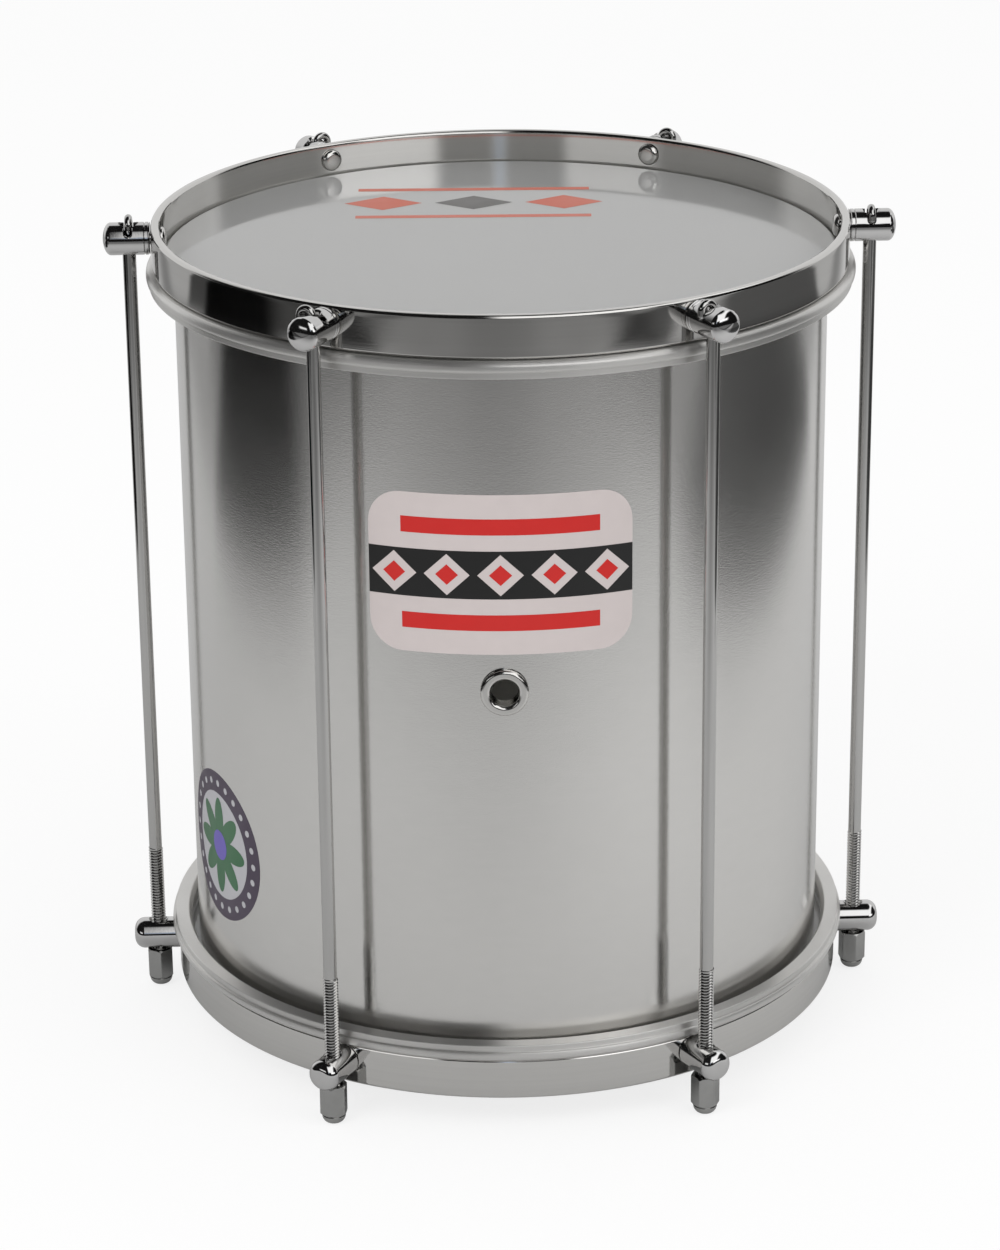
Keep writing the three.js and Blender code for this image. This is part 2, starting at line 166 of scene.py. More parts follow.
def turned(corners, steps, rounding_steps=ROUNDING_STEPS):
    """A closed solid of revolution about Z from the corners of its section."""
    bm = draw_section(corners, rounding_steps)
    bmesh.ops.delete(bm, geom=bm.faces[:], context="FACES_ONLY")
    outline = [edge for edge in bm.edges if not lies_on_axis(edge)]
    bmesh.ops.spin(
        bm, geom=outline, cent=(0, 0, 0), axis=(0, 0, 1), dvec=(0, 0, 0), angle=FULL_TURN,
        steps=steps, use_merge=True, use_duplicate=False,
    )
    return close_up(bm)


def moved(bm, *moves):
    """The shape, moved by one matrix after the other."""
    for move in moves:
        bmesh.ops.transform(bm, matrix=move, verts=bm.verts)
    return bm


# %% [markdown]
# Shading: polished metal shows every error of shading. A face is smooth only where the surface bends
# gently, and sharper edges stay crisp, so that a flat next to a rounded edge keeps its flat reflection.

# %% From a shape to a piece
def mesh_of(bm, name):
    """A mesh from a bmesh, which isn't needed any more."""
    mesh = bpy.data.meshes.new(name)
    bm.to_mesh(mesh)
    bm.free()
    return mesh


def shaded_mesh(bm, name):
    """A mesh from a bmesh, smooth but for its sharp edges."""
    for face in bm.faces:
        face.smooth = True
    for edge in bm.edges:
        edge.smooth = edge.calc_face_angle(0) < SHARP_ANGLE
    return mesh_of(bm, name)


def show_object(mesh, name):
    """A new object in the scene, at the origin."""
    piece = bpy.data.objects.new(name, mesh)
    bpy.context.scene.collection.objects.link(piece)
    return piece


bodies = frame["record"]["behaviour"]["bodies"]
body_of = {node: body for body, nodes in bodies.items() for node in nodes}
slot_of = {part["node"]: part["material_slot"] for part in frame["record"]["subparts"]}
finished = {slot: [] for slot in slot_of.values()}


def stand_for(mesh, node):
    """Makes the piece that is seen in place of a CAD node, moves with its body and takes its finish."""
    piece = show_object(mesh, f"{node}_made")
    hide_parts(node)
    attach(piece, body_of[node])
    finished[slot_of[node]].append(piece)


# %% [markdown]
# Holes and slots are cut with a Boolean modifier, which is then applied, because the round walls of a hole
# can't be drawn in a section that spins. Each cutter is a plain turned shape or a block, which goes once it
# has cut.

# %% Cutting
def cutter(bm, *moves):
    """A shape that cuts, put in its place by one matrix after the other."""
    moved(bm, *moves)
    bmesh.ops.recalc_face_normals(bm, faces=bm.faces)
    return show_object(mesh_of(bm, "cutter"), "cutter")


def cut(mesh, cutters, operation="DIFFERENCE"):
    """The mesh with each cutter taken away, or with only what it shares with them kept."""
    body = show_object(mesh, "body")
    for shape in cutters:
        boolean = body.modifiers.new("cut", "BOOLEAN")
        boolean.object = shape
        boolean.operation = operation
        boolean.solver = "EXACT"
    seen = body.evaluated_get(bpy.context.evaluated_depsgraph_get())
    bm = bmesh.new()
    bm.from_mesh(seen.to_mesh())
    seen.to_mesh_clear()
    for shape in [body, *cutters]:
        bpy.data.objects.remove(shape)
    bmesh.ops.remove_doubles(bm, verts=bm.verts, dist=MERGE_DISTANCE)
    return shaded_mesh(bm, mesh.name)


def pin(diameter, low, high):
    """A plain round bar along Z from one height to another."""
    radius = diameter / 2
    return turned([(0, low), (radius, low), (radius, high), (0, high)], SMALL_STEPS)


# Lays a shape made along Z outwards from the drum, along X.
LAY_OUTWARDS = rotation(RIGHT_ANGLE, "Y")


def lug_place(lug, height=0):
    """The matrix that takes a shape made for a lug on the X axis to its own lug and height."""
    return shift(0, 0, height) @ rotation(lug_angles[lug], "Z")


def at_lug(mesh, lug, height=0):
    """A copy of a mesh, at its own lug."""
    copy = mesh.copy()
    copy.transform(lug_place(lug, height))
    return copy


# %% [markdown]
# Shell
#
# The shell is sheet rolled into a cylinder, so its section is a thin upright strip. The strip gets extra
# points above and below the vent, so that cutting the hole disturbs only a small patch, which the eyelet
# covers, and the long reflections on the rest of the shell stay straight. The hoops' sections have the same
# form.

# %% Shell
SHELL_WALL = 1.5 * MM
SHELL_EDGE = 0.4 * MM
VENT_HOLE_DIAMETER = 10.8 * MM
VENT_BARREL_WALL = 0.6 * MM
VENT_BARREL_CLEARANCE = 0.4 * MM

shell_radius = ring_radius("shell")
shell_inner = shell_radius - SHELL_WALL
shell_low, shell_high = heights("shell")
vent_height = middle("vent_grommet").z
vent_low, vent_high = heights("vent_grommet")
flange_radius = (vent_high - vent_low) / 2
vent_hole = VENT_HOLE_DIAMETER / 2
vent_barrel = vent_hole + VENT_BARREL_WALL
vent_cut = vent_barrel + VENT_BARREL_CLEARANCE
FACE_FRONT = shift(0, 0, vent_height) @ rotation(RIGHT_ANGLE, "X")


def wall_section(inner, outer, low, high, edge, bore_height, cover):
    """The corners of an upright wall, with extra points above and below its bores."""
    below = bore_height - cover
    above = bore_height + cover
    return [
        (inner, low, edge),
        (outer, low, edge),
        (outer, below),
        (outer, above),
        (outer, high, edge),
        (inner, high, edge),
        (inner, above),
        (inner, below),
    ]


flange_cover = flange_radius - VENT_BARREL_CLEARANCE
shell_section = wall_section(
    shell_inner, shell_radius, shell_low, shell_high, SHELL_EDGE, vent_height, flange_cover,
)
hole = cutter(pin(2 * vent_cut, shell_inner - CUT_OVERRUN, shell_radius + CUT_OVERRUN), FACE_FRONT)
stand_for(cut(shaded_mesh(turned(shell_section, RING_STEPS), "shell"), [hole]), "shell")
print("shell", in_mm(2 * shell_radius), "mm across,", in_mm(shell_high - shell_low), "mm long")

# %% [markdown]
# Vent
#
# The vent is an eyelet: a bright flange outside, a short barrel through the wall, and an end rolled over a
# washer inside. Both are sections spun about the hole's own axis and then turned to the front.

# %% Vent eyelet and washer
VENT_BULGE = 2 * MM
VENT_CHAMFER = 0.9 * MM
VENT_LIP = 0.5 * MM
VENT_WASHER_THICKNESS = 0.8 * MM
VENT_ROLL_WIDTH = 1.6 * MM
VENT_ROLL_HEIGHT = 1.3 * MM
VENT_ROUNDING_STEPS = 8

flange_back = shell_radius + SEAT_GAP
flange_front = flange_back + VENT_BULGE
washer_front = math.sqrt(shell_inner**2 - flange_radius**2) - SEAT_GAP
washer_back = washer_front - VENT_WASHER_THICKNESS
roll_front = washer_back - SEAT_GAP
roll_back = roll_front - VENT_ROLL_HEIGHT

eyelet = turned([
    (vent_hole, roll_back),
    (vent_barrel + VENT_ROLL_WIDTH, roll_back, VENT_LIP),
    (vent_barrel + VENT_ROLL_WIDTH, roll_front),
    (vent_barrel, roll_front),
    (vent_barrel, flange_back),
    (flange_radius, flange_back),
    (flange_radius, flange_front - VENT_CHAMFER, VENT_LIP),
    (flange_radius - VENT_CHAMFER, flange_front, VENT_LIP),
    (vent_hole + VENT_CHAMFER, flange_front, VENT_LIP),
    (vent_hole, flange_front - VENT_CHAMFER, VENT_LIP),
], POST_STEPS, VENT_ROUNDING_STEPS)
washer = turned([
    (vent_cut, washer_back),
    (flange_radius, washer_back),
    (flange_radius, washer_front),
    (vent_cut, washer_front),
], POST_STEPS)
for shape, node in ((eyelet, "vent_grommet"), (washer, "vent_washer")):
    stand_for(shaded_mesh(moved(shape, FACE_FRONT), node), node)
print("vent flange", in_mm(2 * flange_radius), "mm across")

# %% [markdown]
# Heads
#
# A head is a film whose rim is held in an aluminium flesh hoop. The film lies flat over the shell's edge,
# bends down round it and runs into a groove of the flesh hoop. Both heads have the same section, so it is
# drawn with depths from the film's face, which then run down on the upper head and up on the lower one.

# %% Heads
FILM_THICKNESS = 0.5 * MM
FILM_COLLAR_RADIUS = 2 * MM
FLESH_LIP_HEIGHT = 2.8 * MM
FLESH_LIP_STEP = 1.1 * MM
FLESH_BULGE_ROUNDING = 2.2 * MM
FLESH_UNDER_ROUNDING = 1.2 * MM
FLESH_FINE_ROUNDING = 0.5 * MM
FLESH_INNER_CHAMFER = 1.4 * MM
FLESH_GROOVE_DEPTH = 3.5 * MM
FLESH_GROOVE_WALL = 0.85 * MM
FLESH_GROOVE_CLEARANCE = 0.3 * MM
FLESH_HOOP_CLEARANCE = 2.8 * MM

flesh_inner = shell_radius + FLESH_HOOP_CLEARANCE
flesh_outer = ring_radius("batter_flesh_hoop")
film_inner = flesh_inner + FLESH_GROOVE_WALL + FLESH_GROOVE_CLEARANCE
film_outer = film_inner + FILM_THICKNESS


def film_section(face, rim_depth):
    """The film's corners, from its face to the depth of its rim."""
    return [
        (0, face),
        (film_outer, face, FILM_COLLAR_RADIUS),
        (film_outer, rim_depth),
        (film_inner, rim_depth),
        (film_inner, FILM_THICKNESS, FILM_COLLAR_RADIUS - FILM_THICKNESS),
        (0, FILM_THICKNESS),
    ]


def flesh_section(top, bottom):
    """The flesh hoop's corners between two depths: the bulge by the film's face, the lip away from it."""
    lip = flesh_outer - FLESH_LIP_STEP
    lip_top = bottom - FLESH_LIP_HEIGHT
    groove_outer = film_outer + FLESH_GROOVE_CLEARANCE
    groove_inner = film_inner - FLESH_GROOVE_CLEARANCE
    groove_bottom = top + FLESH_GROOVE_DEPTH
    return [
        (flesh_inner, lip_top),
        (flesh_inner + FLESH_INNER_CHAMFER, bottom, FLESH_FINE_ROUNDING),
        (lip, bottom, FLESH_FINE_ROUNDING),
        (lip, lip_top, FLESH_FINE_ROUNDING),
        (flesh_outer, lip_top, FLESH_UNDER_ROUNDING),
        (flesh_outer, top, FLESH_BULGE_ROUNDING),
        (groove_outer, top),
        (groove_outer, groove_bottom),
        (groove_inner, groove_bottom),
        (groove_inner, top),
        (flesh_inner, top),
    ]


def make_head(film, flesh_hoop, face, side):
    """Builds a head from its film's face downwards, where side is -1, or upwards, where it is 1."""
    for node, section in ((film, film_section), (flesh_hoop, flesh_section)):
        depths = sorted(side * (height - face) for height in heights(node))
        corners = [(radius, face + side * depth, *rounding) for radius, depth, *rounding in section(*depths)]
        stand_for(shaded_mesh(turned(corners, RING_STEPS), node), node)


bottom_face, top_face = heights("resonant_film")[0], heights("batter_film")[1]
make_head("batter_film", "batter_flesh_hoop", top_face, -1)
make_head("resonant_film", "resonant_flesh_hoop", bottom_face, 1)
print("films at", in_mm(bottom_face), "and", in_mm(top_face), "mm")

# %% [markdown]
# Hoops
#
# A hoop is flat bar, rolled edge-on and welded. Its edges are rounded for the player's hands, which gives
# the rim its thin bright line beside a dark one. The bar is bored for the post screws, between two rows of
# extra points that keep the cuts under the posts.

# %% Hoops
HOOP_THICKNESS = 3.6 * MM
HOOP_EDGE = 1.4 * MM
HOOP_BORE_COVER = 4 * MM
HOOP_ROUNDING_STEPS = 6
SCREW_HOLE_DIAMETER = 5.4 * MM

hoop_outer = ring_radius("top_hoop")
hoop_inner = hoop_outer - HOOP_THICKNESS


def make_hoop(node, post_height):
    """Builds a hoop with its bores at the height of its posts."""
    section = wall_section(hoop_inner, hoop_outer, *heights(node), HOOP_EDGE, post_height, HOOP_BORE_COVER)
    bar = shaded_mesh(turned(section, RING_STEPS, HOOP_ROUNDING_STEPS), node)
    ends = (hoop_inner - CUT_OVERRUN, hoop_outer + CUT_OVERRUN)
    bores = [
        cutter(pin(SCREW_HOLE_DIAMETER, *ends), LAY_OUTWARDS, lug_place(lug, post_height)) for lug in LUGS
    ]
    stand_for(cut(bar, bores), node)


top_post_height = middle("top_post_1").z
bottom_post_height = middle("bottom_post_1").z
make_hoop("top_hoop", top_post_height)
make_hoop("bottom_hoop", bottom_post_height)
print("hoops", in_mm(2 * hoop_outer), "mm across")

# %% [markdown]
# Posts
#
# A post is a turned stud with a domed end, chromed all over. It is made once, lying along X from the hoop
# outwards, and copied to the lugs. The upper posts have two fine grooves by the hoop and a slot from side
# to side for the rod's hook. The lower ones have a rounder end and only the bore.

# %% Turned posts
POST_DIAMETER = 13 * MM
POST_LENGTH = 18.8 * MM
TOP_POST_DOME = 3.2 * MM
BOTTOM_POST_DOME = 4.2 * MM
BOTTOM_POST_FACE = 2 * MM
DOME_STEPS = 10
POST_ROUNDING_STEPS = 3
POST_GROOVES = (0.5 * MM, 2.2 * MM)
POST_GROOVE_WIDTH = 0.6 * MM
POST_GROOVE_DEPTH = 0.5 * MM
POST_BASE_EDGE = 0.2 * MM

post_radius = POST_DIAMETER / 2
post_base = hoop_outer + SEAT_GAP
post_tip = post_base + POST_LENGTH
dome_turns = [RIGHT_ANGLE * step / DOME_STEPS for step in range(DOME_STEPS + 1)]


def dome_points(face, dome):
    """Points of a quarter ellipse from the post's side to the flat or the tip of its end."""
    shoulder = post_tip - dome
    return [
        (face + (post_radius - face) * math.cos(turn), shoulder + dome * math.sin(turn))
        for turn in dome_turns
    ]


def groove_points(from_hoop):
    """A fine groove turned round a post."""
    place = post_base + from_hoop
    half = POST_GROOVE_WIDTH / 2
    return [
        (post_radius, place - half),
        (post_radius - POST_GROOVE_DEPTH, place),
        (post_radius, place + half),
    ]


def post_blank(dome, face, foot, grooves=()):
    """The turned post before it is cut, from its foot to its tip, laid outwards."""
    side = [point for from_hoop in grooves for point in groove_points(from_hoop)]
    tip = [(0, post_tip)] if face else []
    corners = [(0, post_base), foot, *side, *dome_points(face, dome), *tip]
    return shaded_mesh(moved(turned(corners, POST_STEPS, POST_ROUNDING_STEPS), LAY_OUTWARDS), "post")


# %% Cuts in the posts
ROD_BORE_DIAMETER = 6.3 * MM
COUNTERSINK_DIAMETER = 8.3 * MM
COUNTERSINK_DEPTH = 1.6 * MM
SCREW_REACH = 4.4 * MM
SCREW_END_GAP = 0.4 * MM
HOOK_DIAMETER = 3 * MM
HOOK_SLOT_CLEARANCE = 0.35 * MM
HOOK_SLOT_FLOOR = 1.6 * MM
HOOK_SLOT_STEPS = 8
FULL_ROUND = 0.98

slot_half = HOOK_DIAMETER / 2 + HOOK_SLOT_CLEARANCE
clear_of_post = post_radius + CUT_OVERRUN
TO_ROD = shift(rod_distance, 0, 0)


def countersink(turn):
    """A cone at the mouth of the rod's bore, on the crown or turned over to the underside."""
    slope = (COUNTERSINK_DIAMETER - ROD_BORE_DIAMETER) / 2 / COUNTERSINK_DEPTH
    cone = turned([
        (0, post_radius - COUNTERSINK_DEPTH),
        (ROD_BORE_DIAMETER / 2, post_radius - COUNTERSINK_DEPTH),
        (COUNTERSINK_DIAMETER / 2 + slope * CUT_OVERRUN, clear_of_post),
        (0, clear_of_post),
    ], SMALL_STEPS)
    return cutter(cone, rotation(turn, "X"), TO_ROD)


def rod_bore():
    """The upright bore for the rod."""
    return cutter(pin(ROD_BORE_DIAMETER, -clear_of_post, clear_of_post), TO_ROD)


def screw_bore():
    """The blind bore in the post's foot for its screw."""
    end = post_base + SCREW_REACH + SCREW_END_GAP
    return cutter(pin(SCREW_HOLE_DIAMETER, post_base - CUT_OVERRUN, end), LAY_OUTWARDS)


def hook_slot():
    """A slot across the post with a round floor: a square block whose lower edges a bevel rounds."""
    block = bmesh.new()
    bmesh.ops.create_cube(block, size=1)
    size = Matrix.Diagonal((2 * slot_half, 2 * clear_of_post, clear_of_post - HOOK_SLOT_FLOOR, 1))
    centre = (clear_of_post + HOOK_SLOT_FLOOR) / 2
    moved(block, size, shift(rod_distance, 0, centre))
    floor_edges = [
        edge for edge in block.edges
        if all(vert.co.z < centre for vert in edge.verts)
        and abs(edge.verts[0].co.y - edge.verts[1].co.y) > clear_of_post
    ]
    round_off(block, floor_edges, slot_half * FULL_ROUND, HOOK_SLOT_STEPS, "EDGES")
    return cutter(block)


# %% Finished posts
top_post = cut(
    post_blank(TOP_POST_DOME, 0, (post_radius - POST_GROOVE_DEPTH, post_base), POST_GROOVES),
    [screw_bore(), rod_bore(), countersink(0), countersink(HALF_TURN), hook_slot()],
)
bottom_post = cut(
    post_blank(BOTTOM_POST_DOME, BOTTOM_POST_FACE, (post_radius, post_base, POST_BASE_EDGE)),
    [screw_bore(), rod_bore(), countersink(0)],
)
for lug in LUGS:
    stand_for(at_lug(top_post, lug, top_post_height), f"top_post_{lug}")
    stand_for(at_lug(bottom_post, lug, bottom_post_height), f"bottom_post_{lug}")
print("post faces:", len(top_post.polygons), "upper,", len(bottom_post.polygons), "lower")

# %% [markdown]
# Post screws
#
# Inside the hoop each post is held by a low round-headed screw. Only the head shows, so the shank stays
# plain.

# %% Post screws
SCREW_HEAD_DIAMETER = 9 * MM
SCREW_HEAD_HEIGHT = 2 * MM
SCREW_HEAD_EDGE = 0.5 * MM
SCREW_DIAMETER = 4.6 * MM
SCREW_CROWN_ROUNDING = 1.4 * MM

head_radius = SCREW_HEAD_DIAMETER / 2
head_seat = math.sqrt(hoop_inner**2 - head_radius**2) - SEAT_GAP
head_crown = head_seat - SCREW_HEAD_HEIGHT
shank_end = post_base + SCREW_REACH
screw = turned([
    (0, head_crown),
    (head_radius - SCREW_CROWN_ROUNDING / 2, head_crown, SCREW_CROWN_ROUNDING),
    (head_radius, head_seat - SCREW_HEAD_EDGE, SCREW_HEAD_EDGE / 2),
    (head_radius, head_seat),
    (SCREW_DIAMETER / 2, head_seat),
    (SCREW_DIAMETER / 2, shank_end),
    (0, shank_end),
], SMALL_STEPS)
screw_mesh = shaded_mesh(moved(screw, LAY_OUTWARDS), "post_screw")
for lug in LUGS:
    stand_for(at_lug(screw_mesh, lug, top_post_height), f"top_post_screw_{lug}")
    stand_for(at_lug(screw_mesh, lug, bottom_post_height), f"bottom_post_screw_{lug}")
print("screw heads", in_mm(SCREW_HEAD_DIAMETER), "mm across")

# %% [markdown]
# Tension rods
#
# The thread is a zigzag that spins and climbs: after one turn it has risen by one pitch, so it meets
# itself, and two planes trim its ends.

# %% Thread
THREAD_DIAMETER = 6 * MM
THREAD_PITCH = 1.27 * MM
THREAD_DEPTH = 0.62 * MM
THREAD_LENGTH = 58 * MM
THREAD_STEPS = 24
THREAD_FLAT_SHARE = 0.12
THREAD_RISE_SHARE = 0.45


def make_thread(low, high):
    """A closed threaded bar between two heights."""
    bm = bmesh.new()
    crest = THREAD_DIAMETER / 2
    root = crest - THREAD_DEPTH
    turns = range(-1, math.ceil((high - low) / THREAD_PITCH) + 1)
    shares = (0, THREAD_FLAT_SHARE, THREAD_RISE_SHARE, THREAD_RISE_SHARE + THREAD_FLAT_SHARE)
    verts = [
        bm.verts.new((radius, 0, low + (turn + share) * THREAD_PITCH))
        for turn in turns
        for radius, share in zip((root, root, crest, crest), shares)
    ]
    zigzag = [bm.edges.new(pair) for pair in zip(verts, verts[1:])]
    bmesh.ops.spin(
        bm, geom=zigzag, cent=(0, 0, 0), axis=(0, 0, 1), dvec=(0, 0, THREAD_PITCH / THREAD_STEPS),
        angle=FULL_TURN, steps=THREAD_STEPS, use_merge=False, use_duplicate=False,
    )
    bmesh.ops.remove_doubles(bm, verts=bm.verts, dist=MERGE_DISTANCE)
    for height, above in ((low, -1), (high, 1)):
        whole = bm.verts[:] + bm.edges[:] + bm.faces[:]
        bmesh.ops.bisect_plane(
            bm, geom=whole, plane_co=(0, 0, height), plane_no=(0, 0, above), clear_outer=True,
        )
    bmesh.ops.holes_fill(bm, edges=[edge for edge in bm.edges if edge.is_boundary], sides=0)
    bmesh.ops.recalc_face_normals(bm, faces=bm.faces)
    return bm


# %% [markdown]
# The rest of the rod is one skin. A spun section makes the shaft and its thinned neck, the neck's open end
# is spun half a turn sideways into the hook, and an extrusion brings it down into the slot.

# %% Shaft and hook
ROD_DIAMETER = 5.3 * MM
ROD_TAPER_LENGTH = 2 * MM
ROD_SHOULDER_BELOW_POST = 2.2 * MM
HOOK_BEND_RADIUS = 2.7 * MM
HOOK_BEND_STEPS = 14
HOOK_TIP_EDGE = 0.4 * MM
HOOK_TIP_STEPS = 3
SHAFT_OVERLAP = 1 * MM


def items_of(items, kind):
    """The items of one kind from an operator's result."""
    return [item for item in items if isinstance(item, kind)]


def make_shaft(thread_top, hook_top, tip):
    """The rod above its thread, with its hook, as one closed skin about the Z axis."""
    neck = HOOK_DIAMETER / 2
    shoulder = top_post_height - ROD_SHOULDER_BELOW_POST
    bend_height = hook_top - neck - HOOK_BEND_RADIUS
    bm = turned([
        (0, thread_top - SHAFT_OVERLAP),
        (ROD_DIAMETER / 2, thread_top - SHAFT_OVERLAP),
        (ROD_DIAMETER / 2, shoulder),
        (neck, shoulder + ROD_TAPER_LENGTH),
        (neck, bend_height),
        (0, bend_height),
    ], SMALL_STEPS)
    lid = [face for face in bm.faces if face.calc_center_median().z > bend_height - MERGE_DISTANCE]
    mouth = [edge for edge in bm.edges if sum(face in lid for face in edge.link_faces) == 1]
    bmesh.ops.delete(bm, geom=lid, context="FACES_ONLY")
    bend = bmesh.ops.spin(
        bm, geom=mouth, cent=(0, -HOOK_BEND_RADIUS, bend_height), axis=(1, 0, 0), dvec=(0, 0, 0),
        angle=HALF_TURN, steps=HOOK_BEND_STEPS, use_merge=False, use_duplicate=False,
    )
    rim = items_of(bend["geom_last"], bmesh.types.BMEdge)
    drop = bmesh.ops.extrude_edge_only(bm, edges=rim)["geom"]
    bmesh.ops.translate(bm, vec=(0, 0, tip - bend_height), verts=items_of(drop, bmesh.types.BMVert))
    end_ring = [edge for edge in bm.edges if edge.is_boundary and edge.verts[0].co.z < bend_height]
    cap = bmesh.ops.contextual_create(bm, geom=end_ring)["faces"][0]
    round_off(bm, list(cap.edges), HOOK_TIP_EDGE, HOOK_TIP_STEPS, "EDGES")
    return close_up(bm)


# %% Rods
rod_low, rod_high = heights("tension_rod_1")
thread_top = rod_low + THREAD_LENGTH
slot_rise = slot_half - math.sqrt(slot_half**2 - (HOOK_DIAMETER / 2) ** 2)
hook_tip = top_post_height + HOOK_SLOT_FLOOR + slot_rise + SEAT_GAP

rod = make_shaft(thread_top, rod_high, hook_tip)
thread_mesh = mesh_of(make_thread(rod_low, thread_top), "thread")
rod.from_mesh(thread_mesh)
bpy.data.meshes.remove(thread_mesh)
rod_mesh = shaded_mesh(moved(rod, TO_ROD), "tension_rod")
for lug in LUGS:
    stand_for(at_lug(rod_mesh, lug), f"tension_rod_{lug}")
print("rods", in_mm(rod_high - rod_low), "mm long,", len(rod_mesh.polygons), "faces each")

# %% [markdown]
# Tuning nuts
#
# A nut is a hexagon bar whose ends were turned, so it is what a hexagon prism and a turned shape share.
# That gives the curved lines where the flats run out into the dome, which a bevel wouldn't.

# %% Tuning nuts
NUT_ACROSS_FLATS = 10 * MM
NUT_CORNERS = 6
NUT_DOME_HEIGHT = 3.2 * MM
NUT_DOME_DIAMETER = 9.5 * MM
NUT_GROOVE_HEIGHT = 0.5 * MM
NUT_GROOVE_DEPTH = 0.3 * MM
NUT_LOWER_CHAMFER = 0.8 * MM
NUT_TIP_DIAMETER = 4 * MM
NUT_TOP_CHAMFER = 0.7 * MM
NUT_END_WALL = 3.4 * MM
NUT_BORE_DIAMETER = 6.4 * MM
NUT_EDGE = 0.25 * MM
NUT_EDGE_STEPS = 3

nut_low, nut_high = heights("tuning_nut_1")
nut_corner = NUT_ACROSS_FLATS / 2 / math.cos(HALF_TURN / NUT_CORNERS)


def nut_end():
    """Points of the turned end, from the tip's flat over a groove to the corners of the hexagon."""
    tip = NUT_TIP_DIAMETER / 2
    widest = NUT_DOME_DIAMETER / 2
    groove_low = nut_low + NUT_DOME_HEIGHT
    groove_high = groove_low + NUT_GROOVE_HEIGHT
    dome = [
        (tip + (widest - tip) * math.sin(turn), nut_low + NUT_DOME_HEIGHT * (1 - math.cos(turn)))
        for turn in dome_turns
    ]
    return dome + [
        (widest - NUT_GROOVE_DEPTH, groove_low),
        (widest - NUT_GROOVE_DEPTH, groove_high),
        (NUT_ACROSS_FLATS / 2 - NUT_EDGE, groove_high),
        (nut_corner, groove_high + NUT_LOWER_CHAMFER),
    ]


def make_nut():
    """A nut about the Z axis."""
    bore = NUT_BORE_DIAMETER / 2
    round_form = turned([
        (0, nut_low),
        *nut_end(),
        (nut_corner, nut_high - NUT_TOP_CHAMFER),
        (nut_corner - NUT_TOP_CHAMFER, nut_high),
        (bore, nut_high),
        (bore, nut_low + NUT_END_WALL),
        (0, nut_low + NUT_END_WALL),
    ], POST_STEPS)
    bar = bmesh.new()
    bmesh.ops.create_cone(
        bar, cap_ends=True, segments=NUT_CORNERS, radius1=nut_corner, radius2=nut_corner,
        depth=nut_high - nut_low + 2 * CUT_OVERRUN,
    )
    upright = [edge for edge in bar.edges if abs(edge.verts[0].co.z - edge.verts[1].co.z) > CUT_OVERRUN]
    round_off(bar, upright, NUT_EDGE, NUT_EDGE_STEPS, "EDGES")
    hexagon = cutter(bar, shift(0, 0, (nut_low + nut_high) / 2))
    return cut(shaded_mesh(round_form, "tuning_nut"), [hexagon], "INTERSECT")


def nut_turn(node):
    """How far a nut is turned about its rod, read from the corners of its CAD hexagon."""
    centre = middle(node).xy
    corners = [vert.co.xy - centre for vert in frame["nodes"][node].data.vertices]
    farthest = max(corners, key=lambda corner: corner.length)
    return math.atan2(farthest.y, farthest.x)


nut_mesh = make_nut()
for lug, place in rod_places.items():
    node = f"tuning_nut_{lug}"
    mesh = nut_mesh.copy()
    mesh.transform(shift(place.x, place.y, 0) @ rotation(nut_turn(node), "Z"))
    stand_for(mesh, node)
print("nuts", in_mm(nut_high - nut_low), "mm high")

# %% [markdown]
# A smooth edge takes the mean of the faces beside it. Next to a small rounding that would tip the edge of a
# broad flat, and a mirror finish shows it as a bent reflection. The Weighted Normal modifier lets the broad
# faces decide. Its result is kept in the mesh, and the modifier goes.

# %% Flats stay flat
BROAD_FACES_FIRST = 100

pieces = [piece for slot_pieces in finished.values() for piece in slot_pieces]
for piece in pieces:
    weighted = piece.modifiers.new("flats_first", "WEIGHTED_NORMAL")
    weighted.keep_sharp = True
    weighted.weight = BROAD_FACES_FIRST
depsgraph = bpy.context.evaluated_depsgraph_get()
flat_meshes = [bpy.data.meshes.new_from_object(piece.evaluated_get(depsgraph)) for piece in pieces]
for piece, mesh in zip(pieces, flat_meshes):
    mesh.name = piece.name
    piece.modifiers.clear()
    piece.data = mesh
print("pieces shaded:", len(pieces))

# %% [markdown]
# Labels
#
# Two stickers sit on the shell and a print on the upper film. Each is drawn flat, shape by shape, and each
# shape lies a hair above the one below it. A sticker is sliced into narrow upright strips, so that it can
# bend, and rolled round the shell. Shapes drawn as mesh keep their borders sharp at any distance. The
# pattern is a plain one of stripes, lozenges and petals.

# %% Flat shapes for the labels
LABEL_LAYER = 0.04 * MM
LABEL_STRIP = 1.5 * MM
DISC_STEPS = 96
LOZENGE_CORNERS = 4
GROUND, FIGURE, DETAIL, HEART = range(4)
INK_WHITE, INK_RED, INK_BLACK, INK_GREY, INK_GREEN, INK_PLUM, INK_VIOLET, FILM_RED, FILM_BLACK = range(9)


def add_shape(bm, points, ink, layer):
    """Adds a flat shape, with X along the label and Z up. Each layer lies a hair above the one below."""
    verts = [bm.verts.new((x, -layer * LABEL_LAYER, z)) for x, z in points]
    bm.faces.new(verts).material_index = ink


def box_points(width, height, z=0):
    """The corners of an upright rectangle."""
    right, up = width / 2, height / 2
    return [(-right, z - up), (right, z - up), (right, z + up), (-right, z + up)]


def oval_points(width, height, x=0, steps=DISC_STEPS):
    """Points of an ellipse, or of a lozenge where there are only four."""
    turns = [FULL_TURN * step / steps for step in range(steps)]
    return [(x + width / 2 * math.cos(turn), height / 2 * math.sin(turn)) for turn in turns]


